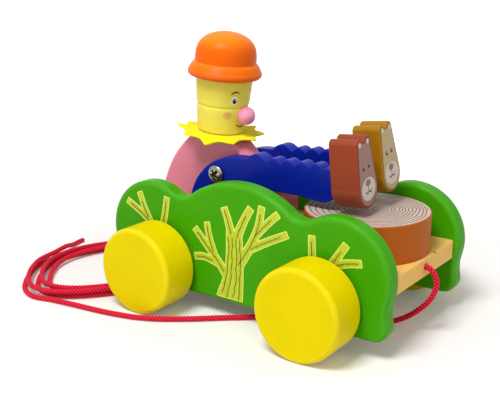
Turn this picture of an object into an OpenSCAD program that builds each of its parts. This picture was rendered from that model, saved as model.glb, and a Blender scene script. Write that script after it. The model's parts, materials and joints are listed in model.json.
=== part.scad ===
// Wooden pull-along cart whose seated peg figure beats a tree-stump drum with two bear-headed mallets.
// Sizes are in millimetres. +X is forward and +Z is up.
// The origin is on the floor under the middle of the cart.

/* [Wheels] */
// Diameter of a wheel
wheel_d = 50; // [46:0.5:54]
// Width of a wheel
wheel_w = 24; // [20:0.5:28]
// Rounding of a wheel's rims
wheel_edge = 2.5; // [1:0.25:4]
// Distance between the two axles
wheel_base = 107; // [100:0.5:112]
// Gap between a wheel and its side panel
wheel_gap = 1.5; // [0.8:0.1:3]

/* [Axles and trip cams] */
// Diameter of an axle dowel
axle_d = 8; // [6:0.25:10]
// Depth of the axle socket in a wheel
axle_socket = 15; // [10:0.5:17]
// Radial running clearance of an axle in a side panel
axle_fit = 0.08; // [0.02:0.01:0.1]
// Radial clearance of a glued dowel, peg or screw
glue_fit = 0.04; // [0.02:0.01:0.1]
// Reach of a trip cam's nose from the axle's centre
cam_reach = 12; // [10.5:0.25:13]
// Thickness of a trip cam
cam_t = 8; // [5:0.25:8.5]
// Diameter of a trip cam's hub
cam_hub_d = 15; // [13:0.5:18]
// Diameter of a trip cam's nose
cam_nose_d = 7; // [5:0.5:9]
// Angle of the right cam's nose when the cart is at rest
cam_turn = 200; // [0:5:360]

/* [Side panels] */
// Length of a side panel
panel_l = 185; // [183:0.5:196]
// Thickness of a side panel
panel_t = 10.5; // [9:0.25:13]
// Height of the middle hump above the floor
panel_top = 78.7; // [76:0.1:84]
// Height of a panel's underside above the floor
panel_foot = 9.5; // [8.5:0.25:12]
// Rounding of a panel's edges
panel_edge = 2.5; // [1:0.25:4]
// Radius of the middle hump
hump_r = 56; // [50:1:64]
// Height of the end humps above the floor
end_top = 71; // [68:0.5:74]
// Radius of the end humps
end_r = 31; // [28:0.5:34]
// Radius of the dips between the humps
dip_r = 12; // [8:0.5:16]
// Radius of the bottom corners
foot_r = 8; // [6:0.5:12]
// How far the bottom corners stand back from the panel's ends
foot_in = 1.2; // [0.6:0.1:3]
// Radius of the shallow hollow in each end
recess_r = 25; // [18:1:40]

/* [Deck] */
// Length of the deck board
deck_l = 178.8; // [175:0.2:181]
// Width of the deck board, which sets the panels apart
deck_w = 73.6; // [70:0.2:80]
// Thickness of the deck board
deck_t = 11; // [10:0.25:14]
// Clear height between the axles and the deck's underside
deck_clear = 2.3; // [1:0.1:4]
// Clearance round the arms' tails and the cams in the deck's slots
slot_clear = 1; // [0.6:0.1:1.6]
// Diameter of the dowels that join the panels to the deck
joint_dowel_d = 6; // [5:0.25:7]
// Depth of those dowels in a panel
joint_in_panel = 6; // [4:0.25:7]
// Depth of those dowels in the deck
joint_in_deck = 12; // [8:0.5:14]
// Distance between neighbouring deck dowels
joint_pitch = 70; // [60:1:76]
// Spare depth at the end of a blind hole
end_gap = 0.5; // [0.3:0.1:1]

/* [Stump drum] */
// Height of the stump drum
stump_h = 21.2; // [19:0.1:23]
// Gap between the stump drum and a side panel
stump_gap = 2.3; // [1:0.1:4]
// Distance of the stump drum's centre ahead of the middle of the cart
stump_x = 53.7; // [50:0.1:54.5]
// Bevel of the stump drum's top rim
stump_bevel = 0.8; // [0.4:0.1:1.5]

/* [Figure] */
// Distance of the figure's centre line behind the middle of the cart
figure_back = 48.2; // [47:0.1:50]
// Thickness of the body board
body_t = 17.4; // [15:0.2:20]
// Width of the torso where it stands on the deck
body_w = 80; // [76:0.5:84]
// Radius of the torso's sides
body_side_r = 62.3; // [60:0.1:66]
// Rounding of the body board's edges
body_edge = 2; // [1:0.25:3]
// Distance of the neck ahead of the figure's centre line
neck_out = 1.2; // [0:0.1:3]
// Height of the neck above the deck
neck_h = 51.7; // [50:0.1:54]
// Reach of the lap ahead of the figure's centre line
lap_reach = 52.3; // [50:0.1:54]
// Height of the lap above the deck
lap_h = 25.7; // [22:0.1:28]
// Radius of the knee
knee_r = 8; // [4:0.5:12]

/* [Head, hat and collar] */
// Forward lean of the head
head_lean = 5.5; // [0:0.5:8]
// Diameter of the head under the hat
head_top_d = 34.3; // [32:0.1:35]
// Diameter of the head at the neck
head_base_d = 28.3; // [26:0.1:29]
// Height of the head
head_h = 35.5; // [32:0.5:38]
// Depth of the groove round the head
groove_depth = 0.5; // [0.3:0.05:0.8]
// Diameter of the neck dowel
neck_dowel_d = 8; // [6:0.25:10]
// Depth of the neck dowel in the head and in the body
neck_dowel_in = 14; // [10:0.5:18]
// Diameter of the ball nose
nose_d = 10.8; // [9:0.1:12]
// Height of the nose above the head's lower end
nose_h = 12.2; // [11:0.1:14]
// How far the nose is let into the head
nose_sink = 2.8; // [1.5:0.1:4]
// Diameter of the nose's peg
nose_peg_d = 4; // [3:0.25:5]
// Diameter of the collar over its petals
collar_d = 52; // [48:0.5:54]
// Thickness of the collar's felt
collar_t = 1.4; // [1:0.1:2]
// Number of petals on the collar
collar_petals = 10; // [8:1:14]
// Depth of the cuts between the petals
collar_cut = 4.5; // [2:0.25:6]
// Height of the collar's waves
collar_wave = 1.4; // [0.5:0.1:2]
// Gap between the felt and the wood above and below it
felt_gap = 0.05; // [0.03:0.01:0.2]
// Diameter of the hat's brim
brim_d = 43.8; // [42:0.1:45]
// Height of the hat's brim
brim_h = 8.8; // [6:0.1:10]
// Diameter of the hat's crown
crown_d = 36.2; // [35:0.1:38]
// Height of the hat
hat_h = 26.2; // [23:0.1:30]
// Depth of the head in the hat
hat_socket = 3; // [2:0.25:5]

/* [Arms] */
// Thickness of an arm
arm_t = 8.6; // [7:0.1:10]
// Side gap between an arm and the body board
arm_gap = 0.3; // [0.2:0.05:0.6]
// Rounding of an arm's edges
arm_edge = 0.8; // [0.4:0.1:1.2]
// Distance of the arm pivot ahead of the figure's centre line
pivot_out = 11.9; // [10:0.1:13]
// Height of the arm pivot above the deck
pivot_h = 31.3; // [30:0.1:33]
// Radial running clearance of an arm on its screw
pivot_fit = 0.08; // [0.02:0.01:0.1]
// Radius of the shoulder
shoulder_r = 36.5; // [34:0.25:38]
// Distance of the shoulder's centre ahead of the pivot
shoulder_out = 14.8; // [14:0.1:16]
// Height of the shoulder above the pivot
shoulder_h = 11.5; // [11:0.1:13]
// Reach of an arm from its pivot to its wrist
arm_reach = 80.3; // [78:0.1:82]
// Distance of an arm's underside below the pivot
arm_low = 4.7; // [3:0.1:6]
// Distance of a hand's underside below the pivot
hand_low = 5.2; // [5:0.1:7]
// Length of a hand
hand_l = 21.5; // [18:0.5:24]
// Rounding under a hand
hand_r = 9; // [6:0.25:9.5]
// Width of a small scallop along an arm's top
scallop_w = 9.2; // [8:0.1:10]
// Height of a small scallop
scallop_h = 2.4; // [1.5:0.1:3]
// Number of small scallops
scallop_n = 4; // [3:1:4]
// How much higher the scallops stand at the wrist than at the shoulder
arm_rise = 1.6; // [0:0.1:2.5]
// Length of the falling edge above a wrist
wrist_fall = 8.6; // [6:0.1:10]
// Drop of that edge at the wrist
wrist_drop = 3.5; // [2:0.1:5]
// Width of the large scallop next to the shoulder
cuff_w = 14; // [12:0.25:16]
// Height of the large scallop
cuff_h = 3.4; // [2.5:0.1:4.5]
// Angle that an arm's tail spans, seen from the pivot
tail_span = 18; // [14:1:22]
// Clearance between an arm's tail and a trip cam's nose
tail_clear = 0.6; // [0.4:0.1:1.5]
// How far the left arm is raised above the right one at rest
left_raise = 2; // [0:0.1:4]
// How far an arm can be raised above the right arm's rest
arm_lift = 10.5; // [8:0.5:12]
// How far an arm can drop below the right arm's rest
arm_drop = 3.3; // [2:0.1:3.6]

/* [Mallet heads] */
// Depth of a mallet head from back to face
mallet_depth = 17; // [14:0.5:20]
// Width of a mallet head across the jowls
jowl_d = 20.8; // [19:0.2:22]
// Width of a mallet head across the brow
brow_d = 13; // [11:0.2:15]
// Height of a mallet head to the tips of its ears
mallet_h = 38.6; // [36:0.1:41]
// Diameter of an ear
ear_d = 6; // [5:0.2:7]
// Distance between the ears' centres
ear_pitch = 8.4; // [7:0.2:10]
// Height of the right mallet above the drum at rest
mallet_rest = 3.2; // [2.8:0.1:6]
// Backward lean of a mallet head on its arm
mallet_lean = 5; // [0:0.5:8]
// Sideways roll of a mallet head on its dowel
mallet_roll = 8; // [0:1:12]
// Diameter of a wrist dowel
wrist_dowel_d = 5; // [4:0.25:5.5]
// Depth of a wrist dowel in the arm and in the mallet head
wrist_dowel_in = 11; // [8:0.5:13]

/* [Screws] */
// Diameter of an arm screw's shank
pivot_screw_d = 4.4; // [3.5:0.1:5]
// Diameter of an arm screw's head
pivot_head_d = 10.2; // [8:0.1:11]
// Height of an arm screw's head
pivot_head_h = 3; // [2:0.1:3.5]
// Gap between an arm screw's head and the arm
head_gap = 0.3; // [0.2:0.05:0.6]
// Depth of an arm screw in the body board
pivot_screw_in = 8; // [6:0.25:8.5]
// Diameter of a deck screw's shank
deck_screw_d = 3.5; // [3:0.1:4]
// Diameter of a deck screw's head
deck_head_d = 7; // [6:0.1:8]
// Depth of a deck screw in the piece above the deck
deck_screw_in = 12; // [9:0.5:15]
// Distance between the two screws of the body board
body_screw_pitch = 62; // [50:1:68]
// Distance between the two screws of the stump drum
stump_screw_pitch = 40; // [30:1:48]

/* [Pull rope] */
// Diameter of the rope
rope_d = 3.2; // [2.8:0.1:3.6]
// Clearance of the rope in its hole
rope_fit = 0.3; // [0.2:0.05:0.5]
// Height of the rope's hole above the deck's underside
rope_h = 6.3; // [5.5:0.1:6.5]
// Depth of the rope's hole from the deck's front edge to the knot
rope_in = 16.4; // [14:0.2:20]
// Diameter of the knot
knot_d = 6.8; // [6.4:0.1:7.2]
// Length of the hank over the middle of its outer loop
hank_l = 109; // [104:1:114]
// Width of the hank over the middle of its outer loop
hank_w = 92; // [88:1:96]
// Spacing of the loops that lie side by side
loop_pitch = 4.6; // [4.4:0.1:5]
// Height between the two layers of loops
layer_h = 3.75; // [3.7:0.05:4]
// Number of turns in the lower layer
lower_turns = 2; // [1:1:2]
// Number of turns in the hank
hank_turns = 4.25; // [3.25:1:4.25]

/* [Hidden] */
$fn = 48;

// Paint and material colours
GREEN = [0.29, 0.63, 0.05];
YELLOW = [0.93, 0.85, 0.03];
PINK = [0.86, 0.5, 0.6];
BLUE = [0.05, 0.12, 0.5];
ORANGE = [0.98, 0.45, 0.06];
STRAW = [0.91, 0.85, 0.36];
FELT = [1, 0.93, 0.05];
BROWN = [0.62, 0.3, 0.19];
GOLD = [0.8, 0.58, 0.12];
BARK = [0.66, 0.37, 0.13];
PINE = [0.86, 0.7, 0.42];
STEEL = [0.72, 0.72, 0.74];
RED = [0.85, 0.09, 0.17];

// Sides of the cart along Y, seen from the driver's place
RIGHT = -1;
LEFT = 1;

// Heights and places that follow from the driving sizes
axle_z = wheel_d / 2;
front_x = wheel_base / 2;
rear_x = -wheel_base / 2;
panel_in = deck_w / 2;
panel_out = panel_in + panel_t;
wheel_in = panel_out + wheel_gap;
deck_z = axle_z + axle_d / 2 + deck_clear;
deck_top = deck_z + deck_t;
stump_d = deck_w - 2 * stump_gap;
stump_top = deck_top + stump_h;
figure_x = -figure_back;
neck_x = figure_x + neck_out;
neck_z = deck_top + neck_h;
lap_x = figure_x + lap_reach;
lap_top = deck_top + lap_h;
head_z = collar_t + 2 * felt_gap;
hat_z = head_z + head_h - hat_socket;
nose_z = head_z + nose_h;
nose_x = head_r(nose_h) + nose_d / 2 - nose_sink;
arm_in = body_t / 2 + arm_gap;
arm_mid = arm_in + arm_t / 2;
arm_out = arm_in + arm_t;
pivot = [figure_x + pivot_out, deck_top + pivot_h];
shoulder = [pivot.x + shoulder_out, pivot.y + shoulder_h - shoulder_r];
arm_top = pivot.y + shoulder_h;
wrist_x = pivot.x + arm_reach;
wrist_z = pivot.y + (shoulder_h - hand_low) / 2;
mallet_low = stump_top + mallet_rest - wrist_z;
tail_r = norm([rear_x, axle_z] - pivot) - cam_reach - tail_clear;
tail_back = meet(pivot, tail_r, shoulder, shoulder_r, -1);
tail_a0 = bearing(pivot, tail_back);
tail_a1 = tail_a0 + tail_span;
slot_x0 = min(rear_x - cam_reach, pivot.x + tail_r * cos(tail_a0 - arm_drop)) - 2 * slot_clear;
slot_x1 = max(rear_x + cam_reach, pivot.x + tail_r * cos(tail_a1 + arm_lift)) + slot_clear;
rope_z = deck_z + rope_h;
knot_x = deck_l / 2 - rope_in - knot_d / 2;
rope_floor = rope_d / 2 + 0.05;

// Rope from its hole in the deck to the hank, in millimetres
rope_route = [
    [91, 0, 37.2], [94, 0, 35], [96, 0, 31], [96, -0.3, 26.5],
    [94, -1, 21], [90.5, -1.6, 16], [86, -2.4, 11.5], [80, -3.5, 7],
    [73, -5, 3.6], [65, -7, 2], [57, -10, 1.65], [49, -14, 1.65],
    [41, -18.5, 1.65], [33, -23, 1.65], [25, -28, 1.65], [17, -33, 1.65],
    [9, -38, 1.65], [2, -43.5, 1.65], [-5, -49, 1.65], [-12, -55, 1.65],
    [-19, -61, 1.65], [-26, -66.5, 1.65], [-33, -71.5, 1.65], [-40, -75.5, 1.65],
    [-48, -79, 1.65], [-57, -81.5, 1.65], [-66, -83.4, 1.65], [-75, -84.7, 1.65],
    [-84, -85.8, 1.65], [-93, -87, 1.65]
];
// Free end of the rope beyond the hank, in millimetres
tail_route = [
    [-161.6, -28.2, 5.35], [-164.2, -22.2, 4.6], [-166.9, -16.4, 3.1],
    [-169.2, -10.8, 1.9], [-170.8, -5.2, 1.65], [-171.8, 0.6, 1.65]
];

// Place, turn, squareness and slant of the hank's oval on the floor
hank_centre = [-113, -30];
hank_angle = 54;
hank_square = 2.6;
hank_slant = 0.25;
hank_start = 231;
// Share by which the loops lie further apart at the hank's open end
hank_spread = 0.7;
loop_rings = 24;
climb_turns = 0.5;

// Point at distance rp from p and rq from q, on the left of p to q where s is 1 and on the right where s is -1
function meet(p, rp, q, rq, s) =
    let (d = norm(q - p))
    let (u = (q - p) / d)
    let (a = (rp * rp - rq * rq + d * d) / (2 * d))
    let (h = sqrt(rp * rp - a * a))
    p + a * u + s * h * [-u.y, u.x];

// Direction from one point to another, from 0 up to 360 degrees
function bearing(from, to) = let (a = atan2(to.y - from.y, to.x - from.x)) a < 0 ? a + 360 : a;

// Arc of n steps about c, without its last point
function arc(c, r, a0, a1, n) =
    [for (i = [0 : n - 1]) let (a = a0 + (a1 - a0) * i / n) c + r * [cos(a), sin(a)]];

// Distance along u from p to the circle about c, on the far side where s is 1
function reach(p, u, c, r, s) = let (w = p - c, k = w * u) -k + s * sqrt(k * k - w * w + r * r);

// Points of an outline reversed and turned end for end about x = 0
function mirrored(pts) = [for (i = [len(pts) - 1 : -1 : 0]) [-pts[i].x, pts[i].y]];

function unit(v) = v / norm(v);

// Outline drawn in by d on every side
function inset(pts, d) =
    let (n = len(pts))
    [for (i = [0 : n - 1])
        let (e = unit(pts[i] - pts[(i + n - 1) % n]))
        let (f = unit(pts[(i + 1) % n] - pts[i]))
        let (a = [e.y, -e.x], b = [f.y, -f.x])
        pts[i] - d * (a + b) / (1 + a * b)];

// Triangles between rings of m points, wound to face outwards
function bands(n, m) =
    [for (i = [0 : n - 2], j = [0 : m - 1])
        let (a = i * m + j, b = i * m + (j + 1) % m)
        each [[a, a + m, b + m], [a, b + m, b]]];

// Triangles of a skin over n rings of m points, closed at both ends
function skin(n, m) = concat(
    [[for (j = [0 : m - 1]) j], [for (j = [m - 1 : -1 : 0]) (n - 1) * m + j]],
    bands(n, m));

// Number of the hub that lies nearest to p
function nearest(p, hubs) = let (d = [for (h = hubs) norm(p - h)]) search(min(d), d)[0];

// Triangles of a flat face that fan out from hubs inside its outline
// The outline's points start at number first and the hubs at number mid
function fans(pts, hubs, first, mid) =
    let (m = len(pts), near = [for (p = pts) nearest(p, hubs)])
    [for (j = [0 : m - 1])
        let (k = (j + 1) % m, step = near[k] < near[j] ? -1 : 1)
        each concat(
            [[mid + near[j], first + j, first + k]],
            [for (h = [near[j] : step : near[k] - step]) [mid + h, first + k, mid + h + step]])];

// Normals carried along a path so that its rings don't twist
function carried(t, i, v) =
    i == len(t) ? [] : let (w = unit(v - (v * t[i]) * t[i])) concat([w], carried(t, i + 1, w));

// Directions along a path
function along(p) =
    let (n = len(p))
    [for (i = [0 : n - 1]) unit(p[min(i + 1, n - 1)] - p[max(i - 1, 0)])];

// Smooth step from 0 to 1
function ease(u) = let (v = min(max(u, 0), 1)) v * v * (3 - 2 * v);

// How far a loop of the hank lies inside the outer one after t turns, at the angle a round the oval
function drawn_in(t, a) =
    loop_pitch * (1 + hank_spread * pow(max(-cos(a), 0), 2))
    * (t < lower_turns ? t : lower_turns - max(t - lower_turns - climb_turns, 0));

// Middle of the rope in the hank after t turns
function hank_point(t) =
    let (a = hank_start - 360 * t)
    let (l = hank_l / 2 - drawn_in(t, a), w = hank_w / 2 - drawn_in(t, a))
    let (k = pow(abs(cos(a)) / l, hank_square) + pow(abs(sin(a)) / w, hank_square))
    let (r = pow(k, -1 / hank_square), v = r * sin(a), u = r * cos(a) + hank_slant * v)
    [hank_centre.x + u * cos(hank_angle) - v * sin(hank_angle),
     hank_centre.y + u * sin(hank_angle) + v * cos(hank_angle),
     rope_floor + layer_h * ease((t - lower_turns) / climb_turns)];

// Points of the hank, with n of them to a turn
function hank_path(n) = [for (i = [0 : round(hank_turns * n)]) hank_point(i / n)];

// Least clear gap between parts of the hank that are more than a third of a turn apart
function hank_gap(n) =
    let (p = hank_path(n), skip = ceil(n / 3), last = len(p) - 1)
    min([for (i = [0 : last - skip], j = [i + skip : last]) norm(p[i] - p[j])]) - rope_d;

// Radius of the head at a height above its lower end
function head_r(z) = (head_base_d + (head_top_d - head_base_d) * z / head_h) / 2;

// Height of an arm's top edge at x, without its scallops
function arm_line(x) = arm_top + arm_rise * max(x - shoulder.x, 0) / (wrist_x - shoulder.x);

// Arch of n points along one scallop of width w and height h that runs back from x
function scallop(x, w, h, n) =
    [for (i = [0 : n - 1]) let (u = i / n) [x - w * u, arm_line(x - w * u) + h * 4 * u * (1 - u)]];

// Outline of a side panel
function panel_outline() =
    let (hump = [0, panel_top - hump_r])
    let (end = [panel_l / 2 - end_r, end_top - end_r])
    let (foot = [panel_l / 2 - foot_in - foot_r, panel_foot + foot_r])
    let (dip = meet(hump, hump_r + dip_r, end, end_r + dip_r, 1))
    let (recess = meet(foot, foot_r + recess_r, end, end_r + recess_r, -1))
    let (half = concat(
        arc(foot, foot_r, -90, atan2(recess.y - foot.y, recess.x - foot.x), 5),
        arc(recess, recess_r, bearing(recess, foot), bearing(recess, end), 4),
        arc(end, end_r, atan2(recess.y - end.y, recess.x - end.x), bearing(end, dip), 12),
        arc(dip, dip_r, bearing(dip, end), bearing(dip, hump), 6),
        arc(hump, hump_r, bearing(hump, dip), 90, 8)))
    concat(half, [[0, panel_top]], mirrored(half));

// Outline of the body board: lap, chest, neck and back
function body_outline() =
    let (k = body_side_r - body_w / 2)
    let (front = [figure_x - k, deck_top], back = [figure_x + k, deck_top])
    let (neck = [neck_x, neck_z], fall = [cos(head_lean), -sin(head_lean)])
    let (seat_front = neck + reach(neck, fall, front, body_side_r, 1) * fall)
    let (seat_back = neck + reach(neck, fall, back, body_side_r, -1) * fall)
    let (knee = [lap_x - knee_r, lap_top - knee_r])
    concat(
        [[lap_x, deck_top]],
        arc(knee, knee_r, 0, 90, 6),
        [[knee.x, lap_top]],
        arc(front, body_side_r, asin(lap_h / body_side_r), bearing(front, seat_front), 8),
        [seat_front],
        arc(back, body_side_r, bearing(back, seat_back), 180, 10),
        [[figure_x - body_w / 2, deck_top]]);

// Outline of an arm: tail, underside, hand, scallops and shoulder
function arm_outline() =
    let (tail_front = pivot + tail_r * [cos(tail_a1), sin(tail_a1)])
    let (low = pivot.y - arm_low, hand_z = pivot.y - hand_low, hand_x = wrist_x - hand_l)
    let (lean = [-sin(mallet_lean), cos(mallet_lean)])
    let (wrist = [wrist_x, wrist_z], half = (arm_top - hand_z) / 2)
    let (heel = wrist - (half - hand_r) * lean)
    let (palm = heel - hand_r * [cos(mallet_lean), sin(mallet_lean)])
    let (scallop_x = wrist_x - wrist_fall)
    let (cuff_x = scallop_x - scallop_n * scallop_w)
    concat(
        arc(pivot, tail_r, tail_a0, tail_a1, 4),
        [tail_front, [pivot.x - 2, pivot.y - 17], [pivot.x + 6, pivot.y - 10],
         [pivot.x + 20, low], [hand_x - 2, low], [hand_x + 1, hand_z]],
        arc(palm, hand_r, -90, -mallet_lean, 4),
        [heel, wrist + (half - wrist_drop) * lean],
        [for (u = [0.8, 0.6, 0.4, 0.2])
            let (x = scallop_x + wrist_fall * u)
            [x, arm_line(x) + 2 * scallop_h * u - (wrist_drop + 2 * scallop_h) * u * u]],
        [for (k = [0 : scallop_n - 1]) each scallop(scallop_x - k * scallop_w, scallop_w, scallop_h, 6)],
        scallop(cuff_x, cuff_w, cuff_h, 8),
        [[cuff_x - cuff_w, arm_line(cuff_x - cuff_w)]],
        arc(shoulder, shoulder_r, 90, bearing(shoulder, tail_back), 16));

// Points inside an arm, from its tail along the middle of the arm to the hand
function arm_hubs() =
    let (n = 6, z = pivot.y + (shoulder_h - arm_low) / 2)
    concat(
        [pivot + tail_r / 2 * [cos(tail_a0), sin(tail_a0)]],
        [for (k = [0 : n]) [pivot.x + arm_reach * k / (n + 0.7), z]]);

// Upright plate along X whose edges are rounded, with its faces at y0 and y0 + t
// Each stretch of the outline can be seen from the nearest of the hubs
module plate(pts, hubs, y0, t, edge) {
    knee_in = edge * (1 - sqrt(1 / 2));
    steps = [[edge, 0], [knee_in, knee_in], [0, edge], [0, t - edge], [knee_in, t - knee_in], [edge, t]];
    n = len(steps);
    m = len(pts);
    mid = n * m;
    rings = [for (s = steps) each [for (p = inset(pts, s[0])) [p.x, p.y, s[1]]]];
    hub_points = [for (z = [0, t]) each [for (h = hubs) [h.x, h.y, z]]];
    far_face = [for (f = fans(pts, hubs, mid - m, mid + len(hubs))) [f[0], f[2], f[1]]];
    translate([0, y0 + t, 0])
        rotate([90, 0, 0])
            polyhedron(
                concat(rings, hub_points),
                concat(bands(n, m), fans(pts, hubs, 0, mid), far_face),
                convexity = 6);
}

// Round tube along a path, cut square at both ends
module tube(path, d, sides) {
    dirs = along(path);
    ups = carried(dirs, 0, [0.1, 0.2, 1]);
    rings = [for (i = [0 : len(path) - 1])
        let (v = cross(dirs[i], ups[i]))
        each [for (j = [0 : sides - 1])
            let (a = 360 * j / sides)
            path[i] + d / 2 * (cos(a) * ups[i] + sin(a) * v)]];
    polyhedron(rings, skin(len(path), sides), convexity = 10);
}

// Cylinder along Y from y0 to y1, with its axis at x and z
module bar_y(x, z, d, y0, y1) {
    translate([x, y0, z])
        rotate([-90, 0, 0])
            cylinder(d = d, h = y1 - y0);
}

// Cylinder along Z from z0 to z1
module bar_z(x, y, d, z0, z1) {
    translate([x, y, z0])
        cylinder(d = d, h = z1 - z0);
}

// Frame of the leaning head, with its origin on the neck
module on_neck() {
    translate([neck_x, 0, neck_z])
        rotate([0, head_lean, 0])
            children();
}

// Turns an arm's pieces about the pivot
module raised(angle) {
    translate([pivot.x, 0, pivot.y])
        rotate([0, -angle, 0])
            translate([-pivot.x, 0, -pivot.y])
                children();
}

// Frame of a wrist, with X along the wrist dowel
module at_wrist(side) {
    translate([wrist_x, side * arm_mid, wrist_z])
        rotate([0, -mallet_lean, 0])
            children();
}

// Countersunk screw that stands up from the deck's underside
module deck_screw(x, y, slack) {
    cone = (deck_head_d - deck_screw_d) / 2;
    bar_z(x, y, deck_screw_d + 2 * slack, deck_z, deck_top + deck_screw_in + (slack > 0 ? end_gap : 0));
    translate([x, y, deck_z])
        cylinder(d1 = deck_head_d + 2 * slack, d2 = deck_screw_d + 2 * slack, h = cone);
}

// Places of the screws that hold the body board
module each_body_screw() {
    for (s = [-1, 1])
        translate([figure_x + s * body_screw_pitch / 2, 0, 0])
            children();
}

// Places of the screws that hold the stump drum
module each_stump_screw() {
    for (s = [-1, 1])
        translate([stump_x, s * stump_screw_pitch / 2, 0])
            children();
}

// Dowel, or with slack its hole, at each joint of a panel and the deck
module joint_dowel(side, slack) {
    spare = slack > 0 ? end_gap : 0;
    for (k = [-1 : 1])
        bar_y(k * joint_pitch, deck_z + deck_t / 2, joint_dowel_d + 2 * slack,
            side * panel_in - (side > 0 ? joint_in_deck : joint_in_panel) - spare,
            side * panel_in + (side > 0 ? joint_in_panel : joint_in_deck) + spare);
}

module side_panel(side) {
    color(GREEN)
        difference() {
            plate(panel_outline(), [[0, deck_z]], side > 0 ? panel_in : -panel_out, panel_t, panel_edge);
            for (x = [front_x, rear_x])
                bar_y(x, axle_z, axle_d + 2 * axle_fit, -wheel_in, wheel_in);
            joint_dowel(side, glue_fit);
        }
}

module deck_board() {
    color(PINE)
        difference() {
            translate([-deck_l / 2, -deck_w / 2, deck_z])
                cube([deck_l, deck_w, deck_t]);
            for (s = [RIGHT, LEFT]) {
                translate([slot_x0, s * arm_mid - arm_t / 2 - slot_clear, deck_z - 1])
                    cube([slot_x1 - slot_x0, arm_t + 2 * slot_clear, deck_t + 2]);
                joint_dowel(s, glue_fit);
            }
            each_body_screw() deck_screw(0, 0, glue_fit);
            each_stump_screw() deck_screw(0, 0, glue_fit);
            translate([knot_x, 0, rope_z])
                rotate([0, 90, 0])
                    cylinder(d = rope_d + 2 * rope_fit, h = deck_l);
            bar_z(knot_x, 0, knot_d + 2 * rope_fit, deck_z - 1, rope_z + knot_d / 2 + rope_fit);
        }
}

module deck_dowels() {
    color(PINE)
        for (s = [RIGHT, LEFT])
            joint_dowel(s, 0);
}

module stump_drum() {
    r = stump_d / 2;
    color(BARK)
        difference() {
            translate([stump_x, 0, deck_top])
                rotate_extrude($fn = 96)
                    polygon([[0, 0], [r, 0], [r, stump_h - stump_bevel], [r - stump_bevel, stump_h], [0, stump_h]]);
            each_stump_screw() deck_screw(0, 0, glue_fit);
        }
}

module stump_screws() {
    color(STEEL)
        each_stump_screw() deck_screw(0, 0, 0);
}

module body_board() {
    color(PINK)
        difference() {
            plate(body_outline(), [[figure_x, deck_top + lap_h / 2]], -body_t / 2, body_t, body_edge);
            for (s = [RIGHT, LEFT])
                pivot_hole(s);
            on_neck() neck_bar(glue_fit);
            each_body_screw() deck_screw(0, 0, glue_fit);
        }
}

// Pilot hole of an arm screw in the body board
module pivot_hole(side) {
    deep = body_t / 2 - pivot_screw_in - end_gap / 2;
    bar_y(pivot.x, pivot.y, pivot_screw_d + 2 * glue_fit,
        side > 0 ? deep : -body_t, side > 0 ? body_t : -deep);
}

module body_screws() {
    color(STEEL)
        each_body_screw() deck_screw(0, 0, 0);
}

// Neck dowel, or with slack its hole, in the frame of the head
module neck_bar(slack) {
    spare = slack > 0 ? end_gap : 0;
    bar_z(0, 0, neck_dowel_d + 2 * slack, -neck_dowel_in - spare, head_z + neck_dowel_in + spare);
}

module neck_dowel() {
    color(PINE)
        on_neck() neck_bar(0);
}

// Felt ruff with pointed petals that wave up and down towards the edge
module collar() {
    steps = 8 * collar_petals;
    hole_r = neck_dowel_d / 2 + glue_fit;
    flat_r = head_base_d / 2;
    edge_r = collar_d / 2;
    fracs = [0, 0.35, 0.7, 1];
    points = [for (i = [0 : steps - 1])
        let (a = 360 * i / steps)
        let (tip = edge_r - collar_cut * pow(abs(sin(collar_petals * a / 2)), 1.5))
        let (rise = collar_wave * sin(collar_petals * a / 2))
        let (radii = concat([hole_r], [for (f = fracs) flat_r + (tip - flat_r) * f]))
        let (lift = concat([0], [for (f = fracs) rise * f]))
        let (top = [for (k = [0 : 4]) [radii[k] * cos(a), radii[k] * sin(a), felt_gap + collar_t + lift[k]]])
        each concat(top, [for (k = [4 : -1 : 0]) [top[k].x, top[k].y, top[k].z - collar_t]])];
    loop = 10;
    total = steps * loop;
    faces = [for (f = bands(steps + 1, loop)) [for (v = f) v % total]];
    color(FELT)
        on_neck() polyhedron(points, faces, convexity = 8);
}

module head() {
    base = head_base_d / 2;
    soft = 2;
    groove_z = head_h * 0.46;
    groove_w = 2 * groove_depth;
    profile = concat(
        [[0, 0]],
        arc([base - soft, soft], soft, -90, 0, 5),
        [[head_r(groove_z - groove_w), groove_z - groove_w],
         [head_r(groove_z) - groove_depth, groove_z],
         [head_r(groove_z + groove_w), groove_z + groove_w],
         [head_r(head_h), head_h], [0, head_h]]);
    color(STRAW)
        on_neck()
            difference() {
                translate([0, 0, head_z])
                    rotate_extrude($fn = 72)
                        polygon(profile);
                neck_bar(glue_fit);
                nose_ball(glue_fit);
            }
}

// Ball nose and its peg, or with slack their seat, in the frame of the head
module nose_ball(slack) {
    spare = slack > 0 ? end_gap : 0;
    translate([nose_x, 0, nose_z]) {
        sphere(d = nose_d + 2 * slack);
        rotate([0, -90, 0])
            cylinder(d = nose_peg_d + 2 * slack, h = nose_d / 2 + 4 + spare);
    }
}

module nose() {
    color(PINK)
        on_neck() nose_ball(0);
}

// Bowler hat with a rolled brim and a domed crown
module hat() {
    brim_r = brim_d / 2;
    crown_r = crown_d / 2;
    roll = brim_h / 2 - 0.4;
    crown = hat_h - brim_h;
    dome = [for (i = [0 : 12]) let (u = i / 12)
        [crown_r * pow(1 - pow(u, 3), 0.5), brim_h + crown * u]];
    profile = concat(
        [[0, 0], [brim_r - roll, 0]],
        arc([brim_r - roll, roll], roll, -80, 70, 6),
        [[crown_r + 1.2, brim_h - 0.7]],
        dome);
    color(ORANGE)
        on_neck()
            difference() {
                translate([0, 0, hat_z])
                    rotate_extrude($fn = 72)
                        polygon(profile);
                bar_z(0, 0, head_top_d + 2 * glue_fit, hat_z - 1, hat_z + hat_socket + felt_gap);
            }
}

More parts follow.
